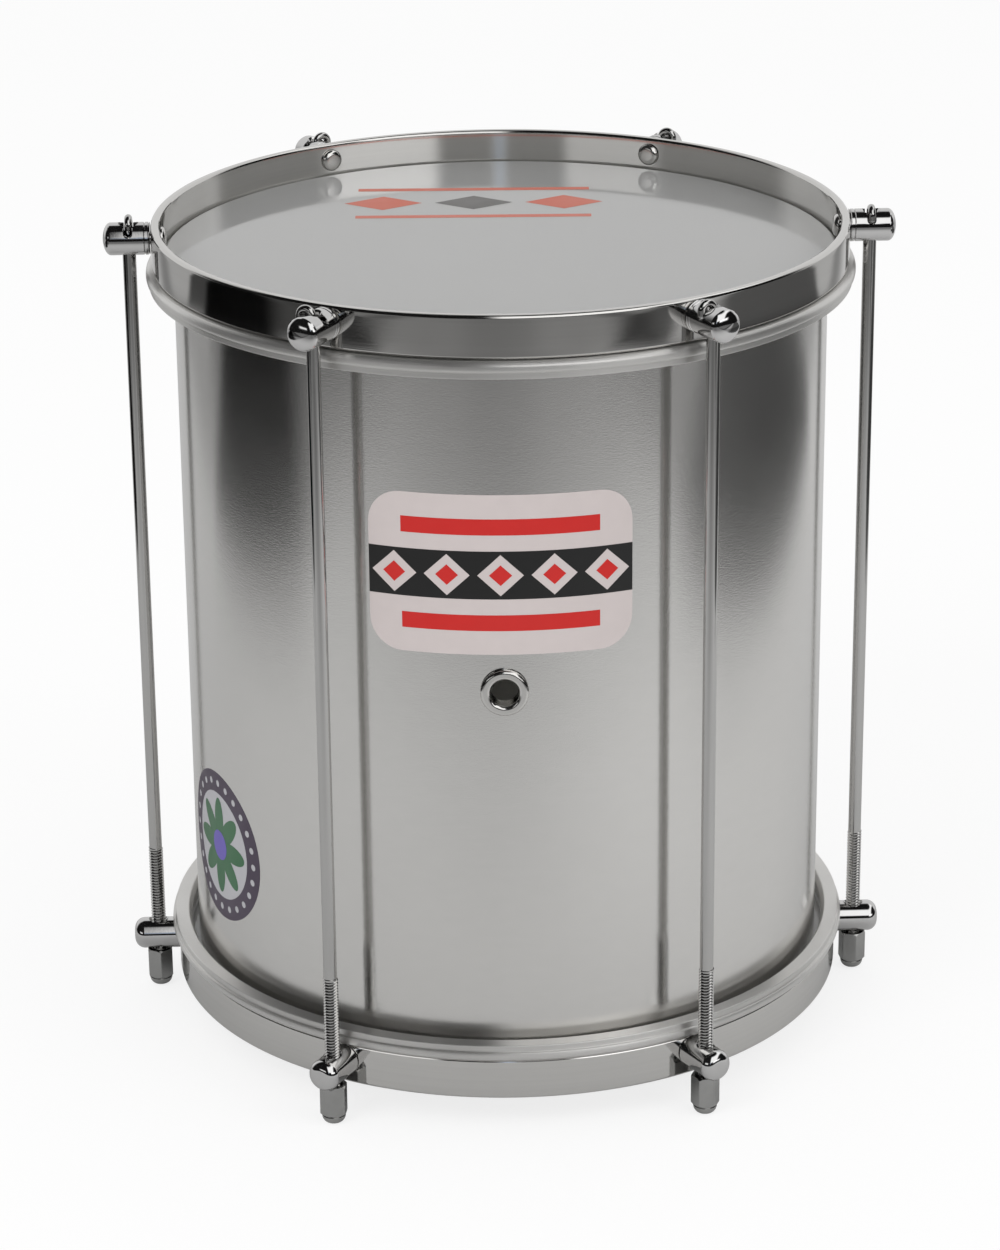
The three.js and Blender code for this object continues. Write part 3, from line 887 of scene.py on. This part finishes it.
def add_ring_of(bm, points, count, ink, layer):
    """Adds a shape many times, turned about the label's middle."""
    for place in range(count):
        about_middle = Matrix.Rotation(FULL_TURN * place / count, 2)
        add_shape(bm, [about_middle @ Vector(point) for point in points], ink, layer)


def roll_on_shell(bm, width, azimuth, height):
    """Slices a flat label upright and rolls it round the shell. The azimuth counts from the front."""
    count = math.ceil(width / LABEL_STRIP)
    for step in range(1, count):
        whole = bm.verts[:] + bm.edges[:] + bm.faces[:]
        place = width * (step / count - 1 / 2)
        bmesh.ops.bisect_plane(bm, geom=whole, plane_co=(place, 0, 0), plane_no=(1, 0, 0))
    for vert in bm.verts:
        turn = azimuth + vert.co.x / shell_radius
        distance = shell_radius + LABEL_LAYER - vert.co.y
        vert.co = (distance * math.sin(turn), -distance * math.cos(turn), height + vert.co.z)
    return bm


# %% [markdown]
# The front label is a white plate with rounded corners, about four tenths of the shell's width. The round
# label lower down to the left is half hidden by the shell's curve.

# %% Front label
FRONT_LABEL_WIDTH = 102 * MM
FRONT_LABEL_HEIGHT = 64 * MM
FRONT_LABEL_CORNER = 13 * MM
FRONT_LABEL_CORNER_STEPS = 10
FRONT_LABEL_AZIMUTH = math.radians(-0.5)
FRONT_LABEL_MIDDLE = 230 * MM
STRIPE_SHARE = 0.1
STRIPE_PLACE_SHARE = 0.3
BAND_SHARE = 0.3
LOZENGES = 5
LOZENGE_SHARE = 0.86


def places_in_row(width, count):
    """The middles of equal places in a row."""
    return [width / count * (place - (count - 1) / 2) for place in range(count)]


def front_label():
    """White plate, two red stripes, and a black band of white lozenges with red hearts."""
    bm = bmesh.new()
    width, height = FRONT_LABEL_WIDTH, FRONT_LABEL_HEIGHT
    add_shape(bm, box_points(width, height), INK_WHITE, GROUND)
    round_off(bm, bm.verts[:], FRONT_LABEL_CORNER, FRONT_LABEL_CORNER_STEPS, "VERTICES")
    for side in (-1, 1):
        middle_height = side * height * STRIPE_PLACE_SHARE
        stripe = box_points(width - 2 * FRONT_LABEL_CORNER, height * STRIPE_SHARE, middle_height)
        add_shape(bm, stripe, INK_RED, FIGURE)
    add_shape(bm, box_points(width, height * BAND_SHARE), INK_BLACK, FIGURE)
    lozenge = (width / LOZENGES * LOZENGE_SHARE, height * BAND_SHARE * LOZENGE_SHARE)
    for x in places_in_row(width, LOZENGES):
        add_shape(bm, oval_points(*lozenge, x, LOZENGE_CORNERS), INK_WHITE, DETAIL)
        add_shape(bm, oval_points(*(size / 2 for size in lozenge), x, LOZENGE_CORNERS), INK_RED, HEART)
    return roll_on_shell(bm, width, FRONT_LABEL_AZIMUTH, FRONT_LABEL_MIDDLE)


# %% Round label
ROUND_LABEL_DIAMETER = 63 * MM
ROUND_LABEL_AZIMUTH = math.radians(-63)
ROUND_LABEL_MIDDLE = 88 * MM
RING_SHARE = 0.72
DOT_RING_SHARE = 0.86
DOT_SHARE = 0.045
DOTS = 24
DOT_STEPS = 12
PETALS = 8
PETAL_STEPS = 24
PETAL_LENGTH_SHARE = 0.3
PETAL_WIDTH_SHARE = 0.13
PETAL_PLACE_SHARE = 0.18
CENTRE_SHARE = 0.2


def round_label():
    """A dark ring of pale dots round a pale disc with green petals and a violet centre."""
    bm = bmesh.new()
    size = ROUND_LABEL_DIAMETER
    disc, centre, dot = size * RING_SHARE, size * CENTRE_SHARE, size * DOT_SHARE
    petal = (size * PETAL_LENGTH_SHARE, size * PETAL_WIDTH_SHARE, size * PETAL_PLACE_SHARE)
    add_shape(bm, oval_points(size, size), INK_PLUM, GROUND)
    add_shape(bm, oval_points(disc, disc), INK_GREY, FIGURE)
    add_ring_of(bm, oval_points(dot, dot, size * DOT_RING_SHARE / 2, DOT_STEPS), DOTS, INK_GREY, FIGURE)
    add_ring_of(bm, oval_points(*petal, PETAL_STEPS), PETALS, INK_GREEN, DETAIL)
    add_shape(bm, oval_points(centre, centre), INK_VIOLET, HEART)
    return roll_on_shell(bm, size, ROUND_LABEL_AZIMUTH, ROUND_LABEL_MIDDLE)


# %% [markdown]
# The film is printed too, small and near the far side. A print has no thickness to speak of, so it is the
# same kind of flat shape, laid down on the film.

# %% Print on the upper film
PRINT_WIDTH = 112 * MM
PRINT_HEIGHT = 42 * MM
PRINT_FROM_AXIS = 66 * MM
PRINT_ASIDE = -11 * MM
PRINT_INKS = (FILM_RED, FILM_BLACK, FILM_RED)


def film_print():
    """A row of lozenges between two thin bars."""
    bm = bmesh.new()
    pitch = PRINT_WIDTH / len(PRINT_INKS)
    for x, ink in zip(places_in_row(PRINT_WIDTH, len(PRINT_INKS)), PRINT_INKS):
        lozenge = oval_points(pitch * LOZENGE_SHARE, PRINT_HEIGHT / 2, x, LOZENGE_CORNERS)
        add_shape(bm, lozenge, ink, GROUND)
    for side in (-1, 1):
        bar = box_points(PRINT_WIDTH * LOZENGE_SHARE, PRINT_HEIGHT * STRIPE_SHARE, side * PRINT_HEIGHT / 2)
        add_shape(bm, bar, FILM_RED, GROUND)
    return moved(bm, rotation(-RIGHT_ANGLE, "X"), shift(PRINT_ASIDE, PRINT_FROM_AXIS, top_face + LABEL_LAYER))


def show_label(bm, name, node):
    """Makes a printed piece that rides with the node it is printed on."""
    piece = show_object(shaded_mesh(bm, name), name)
    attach(piece, body_of[node])
    return piece


labels = [
    show_label(front_label(), "front_label", "shell"),
    show_label(round_label(), "round_label", "shell"),
    show_label(film_print(), "film_print", "batter_film"),
]
print("labels:", [label.name for label in labels])

# %% [markdown]
# Finishes
#
# Metal has almost no colour of its own: it shows the room, sharpened or blurred by its surface. So each
# metal here is one Principled shader, and its finish is in the roughness and the fine relief. Two effects
# are shared, and each is a node group: the grain that a brush or a lathe leaves, and the uneven film that
# hands leave.

# %% Node helpers
def feed(tree, socket, value):
    """Links an input to another node's output, or sets it to a plain value."""
    if isinstance(value, bpy.types.NodeSocket):
        tree.links.new(value, socket)
    else:
        socket.default_value = value


def add_node(tree, kind, **values):
    """A node with its settings and its inputs given by name."""
    node = tree.nodes.new(kind)
    for name, value in values.items():
        if hasattr(node, name):
            setattr(node, name, value)
        else:
            feed(tree, node.inputs[name.replace("_", " ")], value)
    return node


def in_order(tree, kind, *values, **settings):
    """The first output of a node that takes its inputs in order."""
    node = add_node(tree, kind, **settings)
    for socket, value in zip(node.inputs, values):
        feed(tree, socket, value)
    return node.outputs[0]


def combine(tree, operation, *values):
    """The sum, product or other joining of values."""
    return in_order(tree, "ShaderNodeMath", *values, operation=operation)


def multiply(tree, first, *others):
    """The product of values."""
    for other in others:
        first = combine(tree, "MULTIPLY", first, other)
    return first


def ramp(tree, value, start, end, low, high):
    """A smooth change from low to high while a value goes from start to end."""
    return add_node(
        tree, "ShaderNodeMapRange", interpolation_type="SMOOTHSTEP",
        Value=value, From_Min=start, From_Max=end, To_Min=low, To_Max=high,
    ).outputs["Result"]


def mix(tree, factor, first, second, kind="RGBA"):
    """A colour between two, or a value where kind is FLOAT."""
    return add_node(tree, "ShaderNodeMix", data_type=kind, Factor=factor, A=first, B=second).outputs["Result"]


def noise(tree, place, **settings):
    """Noise from 0 to 1."""
    return add_node(tree, "ShaderNodeTexNoise", Vector=place, **settings).outputs["Fac"]


def new_group(name, inputs, outputs):
    """A node group, from its inputs' default values and its outputs' names. The outputs are numbers."""
    group = bpy.data.node_groups.new(name, "ShaderNodeTree")
    for socket, value in inputs.items():
        kind = "NodeSocketVector" if isinstance(value, tuple) else "NodeSocketFloat"
        group.interface.new_socket(name=socket, in_out="INPUT", socket_type=kind).default_value = value
    for socket in outputs:
        group.interface.new_socket(name=socket, in_out="OUTPUT", socket_type="NodeSocketFloat")
    return group, group.nodes.new("NodeGroupInput").outputs, group.nodes.new("NodeGroupOutput").inputs


# %% [markdown]
# Grain lines are noise that is squeezed hard along one direction. On the shell and the hoops the brush ran
# round the drum, so the pattern changes fast with height and slowly along the wall. The group's Spread
# gives how fast it changes along X, Y and Z.

# %% Grain lines
ROUND_THE_DRUM = (60, 60, 5000)
FINE_LINES = {"Scale": 1, "Detail": 3, "Roughness": 0.6}
BROAD_LINES = {"Scale": 0.2, "Detail": 2, "Roughness": 0.5}


def grain_lines():
    """A group whose Height is fine parallel lines and whose Tone is softer and broader ones."""
    inputs = {"Vector": (0, 0, 0), "Spread": ROUND_THE_DRUM}
    group, given, results = new_group("Grain lines", inputs, ["Height", "Tone"])
    place, spread = given["Vector"], given["Spread"]
    stretched = in_order(group, "ShaderNodeVectorMath", place, spread, operation="MULTIPLY")
    feed(group, results["Height"], noise(group, stretched, **FINE_LINES))
    feed(group, results["Tone"], noise(group, stretched, **BROAD_LINES))
    return group


# %% [markdown]
# Handled metal isn't evenly polished. Large soft clouds of slightly duller metal, with a few finer smears
# in them, keep a big reflection from looking like a mirror in a shop.

# %% Handled surface
CLOUDS = {"Detail": 3, "Roughness": 0.5, "Distortion": 0.2}
CLOUD_EDGES = (0.25, 0.75)
HANDLED_DEFAULTS = {"Vector": (0, 0, 0), "Fineness": 20, "Clean": 0.1, "Touched": 0.2}


def handled_surface():
    """A group that gives a roughness between its Clean and its Touched value."""
    group, given, results = new_group("Handled surface", HANDLED_DEFAULTS, ["Roughness"])
    clouds = noise(group, given["Vector"], Scale=given["Fineness"], **CLOUDS)
    feed(group, results["Roughness"], ramp(group, clouds, *CLOUD_EDGES, given["Clean"], given["Touched"]))
    return group


GRAIN = grain_lines()
HANDLED = handled_surface()

# %% [markdown]
# Every finish starts the same way: a Principled shader, the handled surface in its roughness, a colour that
# drifts between two shades, and for metal and film a fine relief.

# %% What all finishes share
def new_finish(name, fineness, clean, touched):
    """A new material with a handled surface, its tree, its Principled shader and its coordinates."""
    material = bpy.data.materials.new(name)
    material.use_nodes = True
    tree = material.node_tree
    shader = tree.nodes["Principled BSDF"]
    place = add_node(tree, "ShaderNodeTexCoord").outputs["Object"]
    handled = add_node(
        tree, "ShaderNodeGroup", node_tree=HANDLED,
        Vector=place, Fineness=fineness, Clean=clean, Touched=touched,
    )
    feed(tree, shader.inputs["Roughness"], handled.outputs["Roughness"])
    return material, tree, shader, place


def tint(tree, shader, pattern, dark, pale):
    """Lets a pattern move the colour between two shades."""
    feed(tree, shader.inputs["Base Color"], mix(tree, pattern, dark, pale))


def emboss(tree, shader, pattern, relief):
    """Lifts the surface by a pattern, up to a height in millimetres."""
    bump = add_node(tree, "ShaderNodeBump", Strength=1, Distance=relief * MM, Height=pattern)
    feed(tree, shader.inputs["Normal"], bump.outputs["Normal"])


def shade_of(colour, share):
    """A colour made darker."""
    return (*(part * share for part in colour[:3]), 1)


# %% [markdown]
# A metal's colour is what it reflects of white light: aluminium the most, and dull plating the least. The
# grain darkens the colour by up to a fifth and lifts the surface by a few thousandths of a millimetre, or
# more on the shell, whose sheet was rolled with a satin face. Its reflections stay sharp sideways and smear
# up and down: the Tangent node turns the stretched highlight round the drum's axis, and the flesh hoops
# have the same.

# %% One metal
HIGHLIGHT_TURN = 0.25


def metal(name, colour, clean, touched, fineness, spread, relief, darkest, stretch=0, metallic=1):
    """A metal with a grain and a handled surface, and a highlight that may be stretched."""
    material, tree, shader, place = new_finish(name, fineness, clean, touched)
    grain = add_node(tree, "ShaderNodeGroup", node_tree=GRAIN, Vector=place, Spread=spread).outputs
    tint(tree, shader, grain["Tone"], shade_of(colour, darkest), colour)
    emboss(tree, shader, grain["Height"], relief)
    shader.inputs["Metallic"].default_value = metallic
    if stretch:
        tangent = add_node(tree, "ShaderNodeTangent", direction_type="RADIAL", axis="Z")
        feed(tree, shader.inputs["Tangent"], tangent.outputs["Tangent"])
        shader.inputs["Anisotropic"].default_value = stretch
        shader.inputs["Anisotropic Rotation"].default_value = HIGHLIGHT_TURN
    return material


# %% Metals by slot
ALUMINIUM = (0.80, 0.79, 0.77, 1)
CHROME = (0.7, 0.695, 0.69, 1)
NICKEL = (0.72, 0.71, 0.69, 1)
PLATED_STEEL = (0.58, 0.575, 0.565, 1)
DULL_CHROME = (0.5, 0.5, 0.49, 1)
ROLLED_SHEET = (650, 650, 1800)
ALL_WAYS = (900, 900, 900)
ALONG_THE_BAR = (3000, 3000, 120)
# By slot: name, colour, clean and touched roughness, fineness of the clouds, spread of the grain, relief in
# millimetres and darkest shade. The two of aluminium add how far their highlight is stretched.
METALS = {
    "shell_aluminium": ("satin_aluminium", ALUMINIUM, 0.11, 0.135, 14, ROLLED_SHEET, 0.026, 0.95, 1),
    "vent_metal": ("polished_eyelet", NICKEL, 0.08, 0.16, 60, ALL_WAYS, 0.002, 0.95),
    "flesh_hoop_aluminium": (
        "drawn_aluminium", ALUMINIUM, 0.34, 0.42, 30, ROUND_THE_DRUM, 0.006, 0.8, 0.85, 0.9,
    ),
    "hoop_metal": ("polished_hoop", NICKEL, 0.04, 0.11, 18, ROUND_THE_DRUM, 0.003, 0.92),
    "post_chrome": ("bright_chrome", CHROME, 0.04, 0.1, 90, ALL_WAYS, 0.004, 0.9),
    "screw_steel": ("plated_screw", NICKEL, 0.14, 0.24, 120, ALL_WAYS, 0.002, 0.9),
    "rod_steel": ("plated_rod", PLATED_STEEL, 0.06, 0.14, 60, ALONG_THE_BAR, 0.003, 0.88),
    "nut_steel": ("plated_nut", DULL_CHROME, 0.12, 0.22, 90, ALL_WAYS, 0.008, 0.8),
}
finish_of = {slot: metal(*values) for slot, values in METALS.items()}

# %% [markdown]
# The film is clear polyester over a milky layer. Its colour is a pale grey, its glossy face shows the hoop
# and the room, and some light comes through it, so a Translucent shader is added to the Principled one. A
# very low relief makes the reflection tremble a little, as a stretched film does.

# %% Film
FILM_GREY = (0.265, 0.265, 0.265, 1)
FILM_GREY_WORN = (0.25, 0.25, 0.248, 1)
FILM_PASSES = (0.5, 0.5, 0.49, 1)
FILM_IOR = 1.65
FILM_TOUCH = {"fineness": 9, "clean": 0.05, "touched": 0.1}
FILM_MILK = {"Scale": 6, "Detail": 4, "Roughness": 0.6}
FILM_WAVES = {"Scale": 25, "Detail": 1}
FILM_RELIEF = 0.01


def film_finish():
    """Milky glossy film."""
    material, tree, shader, place = new_finish("milky_film", **FILM_TOUCH)
    tint(tree, shader, noise(tree, place, **FILM_MILK), FILM_GREY_WORN, FILM_GREY)
    emboss(tree, shader, noise(tree, place, **FILM_WAVES), FILM_RELIEF)
    shader.inputs["IOR"].default_value = FILM_IOR
    glow = add_node(tree, "ShaderNodeBsdfTranslucent", Color=FILM_PASSES)
    both = in_order(tree, "ShaderNodeAddShader", shader.outputs["BSDF"], glow.outputs["BSDF"])
    feed(tree, tree.nodes["Material Output"].inputs["Surface"], both)
    return material


finish_of["drum_film"] = film_finish()
for slot, pieces in finished.items():
    for piece in pieces:
        piece.data.materials.clear()
        piece.data.materials.append(finish_of[slot])
print("finishes:", sorted(finish_of))

# %% [markdown]
# Printing ink is smooth but not glossy. Each colour is one material, with a little mottling so that a large
# area isn't one flat colour, and the same handled roughness as the metals.

# %% Inks
INKS = {
    "label_white": (0.57, 0.51, 0.5, 1),
    "label_red": (0.56, 0.008, 0.005, 1),
    "label_black": (0.01, 0.01, 0.01, 1),
    "label_grey": (0.4, 0.4, 0.42, 1),
    "label_green": (0.03, 0.12, 0.05, 1),
    "label_plum": (0.05, 0.035, 0.06, 1),
    "label_violet": (0.11, 0.08, 0.38, 1),
    "film_red": (0.55, 0.13, 0.08, 1),
    "film_black": (0.13, 0.125, 0.12, 1),
}
INK_DARKEST = 0.93
INK_TOUCH = {"fineness": 40, "clean": 0.3, "touched": 0.45}
INK_MOTTLE = {"Scale": 160, "Detail": 3}


def ink_finish(name, colour):
    """One printed colour."""
    material, tree, shader, place = new_finish(name, **INK_TOUCH)
    tint(tree, shader, noise(tree, place, **INK_MOTTLE), shade_of(colour, INK_DARKEST), colour)
    return material


inks = [ink_finish(name, colour) for name, colour in INKS.items()]
for label in labels:
    for material in inks:
        label.data.materials.append(material)
print("inks:", [material.name for material in inks])

# %% [markdown]
# Floor
#
# The drum stands on a pale sweep. Rays from the camera see it white, with the drum's shadow. Rays from
# metal see painted light and shade on it: paint darker than the camera sees, painted shade towards the
# front where the camera stands, and painted shade at the sides where black flags would stand, though no
# flag is built. The near painted shades draw the dark columns that the shell reflects. The shell mirrors no
# floor beyond `FAR_START` from the drum's axis, but the upper hoop does, so the far painted shades and the
# painted gains shape the bands on the hoop alone.

# %% Floor as metal sees it, with painted light and shade
# Painted shade: metal sees the floor painted darker than the white that the camera sees.
FLOOR_PAINTED_FOR_METAL = 0.56
PAINTED_EDGE_SOFTNESS = 0.05
FAR_START = 1.08
# A painted flag shade has its distance beside the drum, its front, its back, its darkness and the
# softness of its front.
LEFT_PAINTED_SHADE = (0.655, -0.22, 0.3, 0.97, 0.25)
RIGHT_PAINTED_SHADE = (0.605, -0.3, 0.55, 0.82, 0.25)
FAR_LEFT_PAINTED_SHADE = (FAR_START, -0.88, 0.5, 0.86, 0.04)
FAR_RIGHT_PAINTED_SHADE = (FAR_START, -0.93, -0.72, 0.72, 0.04)
# A ramp has the place where it starts and ends, and the share of painted light at its start and end.
# The fades are painted shade towards the front, where the camera stands.
CENTRE_PAINTED_FADE = (-1.25, -0.3, 0.2, 1)
SIDE_PAINTED_FADE = (-1.1, -0.3, 0.35, 1)
CENTRE_TO_SIDE = (0.15, 0.55, 0, 1)
# Painted shade at the far sides, painted light on the right, and painted light on the far floor that the
# upper hoop mirrors.
SIDE_PAINTED_GAIN = (0.6, 0.8, 1, 0.45)
RIGHT_PAINTED_GAIN = (-0.05, 0.3, 1, 1.15)
FAR_CENTRE_PAINTED_GAIN = (0.2, 0.5, 1.45, 1)
FAR_SIDE_PAINTED_GAIN = (0.82, 0.92, 1, 1.8)


def painted_flag_shade(tree, sideways, y, start, front, back, darkness, softness):
    """Painted shade on the floor where a black flag would stand beside the drum; no flag is built."""
    beyond = ramp(tree, sideways, start, start + PAINTED_EDGE_SOFTNESS, 0, darkness)
    behind_front = ramp(tree, y, front - softness, front, 0, 1)
    before_back = ramp(tree, y, back, back + PAINTED_EDGE_SOFTNESS, 1, 0)
    return combine(tree, "SUBTRACT", 1, multiply(tree, beyond, behind_front, before_back))


def painted_floor_light(tree):
    """The painted light and shade of the floor where metal sees it."""
    place = add_node(tree, "ShaderNodeTexCoord").outputs["Object"]
    x, y, _ = add_node(tree, "ShaderNodeSeparateXYZ", Vector=place).outputs
    distance = add_node(tree, "ShaderNodeVectorMath", operation="LENGTH", Vector=place).outputs["Value"]
    sideways = combine(tree, "ABSOLUTE", x)
    fades = [ramp(tree, y, *fade) for fade in (CENTRE_PAINTED_FADE, SIDE_PAINTED_FADE)]
    far = ramp(tree, distance, FAR_START, FAR_START + PAINTED_EDGE_SOFTNESS, 0, 1)
    far_gains = multiply(tree, *(ramp(tree, sideways, *gain) for gain in (FAR_CENTRE_PAINTED_GAIN, FAR_SIDE_PAINTED_GAIN)))
    on_left = combine(tree, "LESS_THAN", x, 0)
    on_right = combine(tree, "GREATER_THAN", x, 0)
    return multiply(
        tree,
        mix(tree, ramp(tree, sideways, *CENTRE_TO_SIDE), *fades, kind="FLOAT"),
        ramp(tree, sideways, *SIDE_PAINTED_GAIN),
        painted_flag_shade(tree, multiply(tree, x, -1), y, *LEFT_PAINTED_SHADE),
        painted_flag_shade(tree, x, y, *RIGHT_PAINTED_SHADE),
        painted_flag_shade(tree, multiply(tree, distance, on_left), y, *FAR_LEFT_PAINTED_SHADE),
        painted_flag_shade(tree, multiply(tree, distance, on_right), y, *FAR_RIGHT_PAINTED_SHADE),
        ramp(tree, x, *RIGHT_PAINTED_GAIN),
        mix(tree, far, 1, far_gains, kind="FLOAT"),
        FLOOR_PAINTED_FOR_METAL,
    )


# %% [markdown]
# The floor's shader is paint, lit and shadowed by the drum. For the camera it is mixed with light of its
# own, so that it is white and the shadow stays soft. For metal the paint has the painted light and shade
# above.

# %% Floor
FLOOR_SIZE = 6
FLOOR_PAINT = (0.98, 0.98, 0.98, 1)
CAMERA_PAINT_SHARE = 0.2
WHITE = (1, 1, 1, 1)
FULL_WHITE = {"Color": WHITE, "Strength": 1}


def empty_tree(owner):
    """The emptied tree of a material or world, whether a ray left metal and whether it left the camera."""
    owner.use_nodes = True
    tree = owner.node_tree
    tree.nodes.clear()
    rays = add_node(tree, "ShaderNodeLightPath").outputs
    from_metal = combine(tree, "MAXIMUM", rays["Is Glossy Ray"], rays["Is Transmission Ray"])
    return tree, from_metal, rays["Is Camera Ray"]


def floor_finish():
    """White for the camera, and for metal paint with painted light and shade by place."""
    material = bpy.data.materials.new("pale_sweep")
    tree, from_metal, from_camera = empty_tree(material)
    colour = mix(tree, from_metal, FLOOR_PAINT, painted_floor_light(tree))
    paint = add_node(tree, "ShaderNodeBsdfDiffuse", Color=colour).outputs[0]
    glow = add_node(tree, "ShaderNodeEmission", **FULL_WHITE).outputs[0]
    glow_share = multiply(tree, from_camera, 1 - CAMERA_PAINT_SHARE)
    seen = in_order(tree, "ShaderNodeMixShader", glow_share, paint, glow)
    add_node(tree, "ShaderNodeOutputMaterial", Surface=seen)
    return material


floor_shape = bmesh.new()
bmesh.ops.create_grid(floor_shape, x_segments=1, y_segments=1, size=FLOOR_SIZE / 2)
floor_mesh = mesh_of(floor_shape, "sweep")
floor_mesh.materials.append(floor_finish())
floor = show_object(floor_mesh, "sweep")
print("floor:", FLOOR_SIZE, "m square")

# %% [markdown]
# Room
#
# The world lights the drum evenly from all sides. To the camera it is white. To metal it is a
# photographer's room: a bright wall behind the drum, a dark ceiling and a dark wall in front, a big white
# panel high up in front and to the right, two low screens at the sides, and a window's narrow bluish strip
# between them. Without the dark parts chrome would look like plastic.

# %% Room
ROOM_LIGHT = 0.8
ROOM_DARK = 0.008
ROOM_EDGE = 0.05
WALL_LIGHT = 0.75
WALL_HEIGHTS = (-1, 0.86)
WALL_CHANGE = (0.3, 0.55)
PANEL_LIGHT = 1.3
PANEL_SIDES = (-0.03, 0.7)
PANEL_HEIGHTS = (0.33, 0.88)
LOW_HEIGHTS = (0.2, 0.33)
WINDOW_LIGHT = 1.0
WINDOW_SIDES = (-0.03, 0.03)
WINDOW_BLUE = (0.5, 0.7, 1, 1)
RIGHT_SCREEN_LIGHT = 1.8
RIGHT_SCREEN_SIDES = (0.36, 0.85)
LEFT_SCREEN_LIGHT = 1.1
LEFT_SCREEN_SIDES = (-0.8, -0.38)


def between(tree, value, low, high):
    """1 between two values and 0 outside them, with soft edges."""
    rise = ramp(tree, value, low - ROOM_EDGE, low + ROOM_EDGE, 0, 1)
    fall = ramp(tree, value, high - ROOM_EDGE, high + ROOM_EDGE, 1, 0)
    return multiply(tree, rise, fall)


def room_in_metal(tree):
    """The brightness and the blueness that metal sees, by the direction it looks in."""
    direction = add_node(tree, "ShaderNodeTexCoord").outputs["Generated"]
    x, y, z = add_node(tree, "ShaderNodeSeparateXYZ", Vector=direction).outputs
    behind = ramp(tree, y, *WALL_CHANGE, 0, 1)
    in_front = combine(tree, "SUBTRACT", 1, behind)
    high = multiply(tree, in_front, between(tree, z, *PANEL_HEIGHTS))
    low = multiply(tree, in_front, between(tree, z, *LOW_HEIGHTS))
    window = multiply(tree, low, between(tree, x, *WINDOW_SIDES))
    lights = [
        multiply(tree, behind, between(tree, z, *WALL_HEIGHTS), WALL_LIGHT),
        multiply(tree, window, WINDOW_LIGHT),
        multiply(tree, high, between(tree, x, *PANEL_SIDES), PANEL_LIGHT),
        multiply(tree, low, between(tree, x, *RIGHT_SCREEN_SIDES), RIGHT_SCREEN_LIGHT),
        multiply(tree, low, between(tree, x, *LEFT_SCREEN_SIDES), LEFT_SCREEN_LIGHT),
    ]
    total = ROOM_DARK
    for light in lights:
        total = combine(tree, "ADD", light, total)
    return total, window


def build_room():
    """The world: white for the camera, the room above for metal, and even light for all else."""
    world = bpy.data.worlds.new("room")
    tree, from_metal, from_camera = empty_tree(world)
    brightness, blueness = room_in_metal(tree)
    colour = mix(tree, blueness, WHITE, WINDOW_BLUE)
    even = add_node(tree, "ShaderNodeBackground", Color=WHITE, Strength=ROOM_LIGHT).outputs[0]
    walls = add_node(tree, "ShaderNodeBackground", Color=colour, Strength=brightness).outputs[0]
    white = add_node(tree, "ShaderNodeBackground", **FULL_WHITE).outputs[0]
    lit = in_order(tree, "ShaderNodeMixShader", from_metal, even, walls)
    seen = in_order(tree, "ShaderNodeMixShader", from_camera, lit, white)
    add_node(tree, "ShaderNodeOutputWorld", Surface=seen)
    return world


bpy.context.scene.world = build_room()
print("room:", bpy.context.scene.world.name)

# %% [markdown]
# Two soft lamps add a little direction, so that the hoops and posts throw faint shadows. Metal doesn't see
# them, because it has the room to show. An area lamp shines along its own -Z, and `to_track_quat` turns
# that towards the drum.

# %% Lamps
KEY_LAMP = {"place": (-1.3, -1.5, 1.9), "size": 1.1, "power": 16}
FILL_LAMP = {"place": (1.6, -1.0, 1.5), "size": 1, "power": 8}


def soft_lamp(name, place, size, power):
    """A square lamp that looks at the drum's middle."""
    data = bpy.data.lights.new(name, "AREA")
    data.shape = "SQUARE"
    data.size = size
    data.energy = power
    lamp = show_object(data, name)
    lamp.location = place
    lamp.visible_glossy = False
    aim = Vector((0, 0, (shell_low + shell_high) / 2)) - lamp.location
    lamp.rotation_euler = aim.to_track_quat("-Z", "Y").to_euler()


soft_lamp("key_lamp", **KEY_LAMP)
soft_lamp("fill_lamp", **FILL_LAMP)

# %% [markdown]
# Camera
#
# The camera stands 1.5 m in front of the drum and looks down on it. It is turned by its pitch first and
# then by small amounts about the other axes, which bring the hoops' ellipses to the tilt they have in the
# photograph.

# %% Camera
CAMERA_PLACE = (0, -1.5238, 0.7536)
CAMERA_PITCH = 0.3718
CAMERA_YAW = -0.0011
CAMERA_ROLL = -0.0097
CAMERA_LENS = 142.77
CAMERA_SENSOR = 36

camera_data = bpy.data.cameras.new("camera")
camera_data.sensor_fit = "HORIZONTAL"
camera_data.sensor_width = CAMERA_SENSOR
camera_data.lens = CAMERA_LENS
camera = show_object(camera_data, "camera")
pitched = rotation(-CAMERA_YAW, "Z") @ rotation(RIGHT_ANGLE - CAMERA_PITCH, "X")
camera.matrix_world = shift(*CAMERA_PLACE) @ pitched @ rotation(CAMERA_ROLL, "Z")
bpy.context.scene.camera = camera
bpy.context.scene.view_settings.view_transform = "Standard"
print("camera at", CAMERA_PLACE)
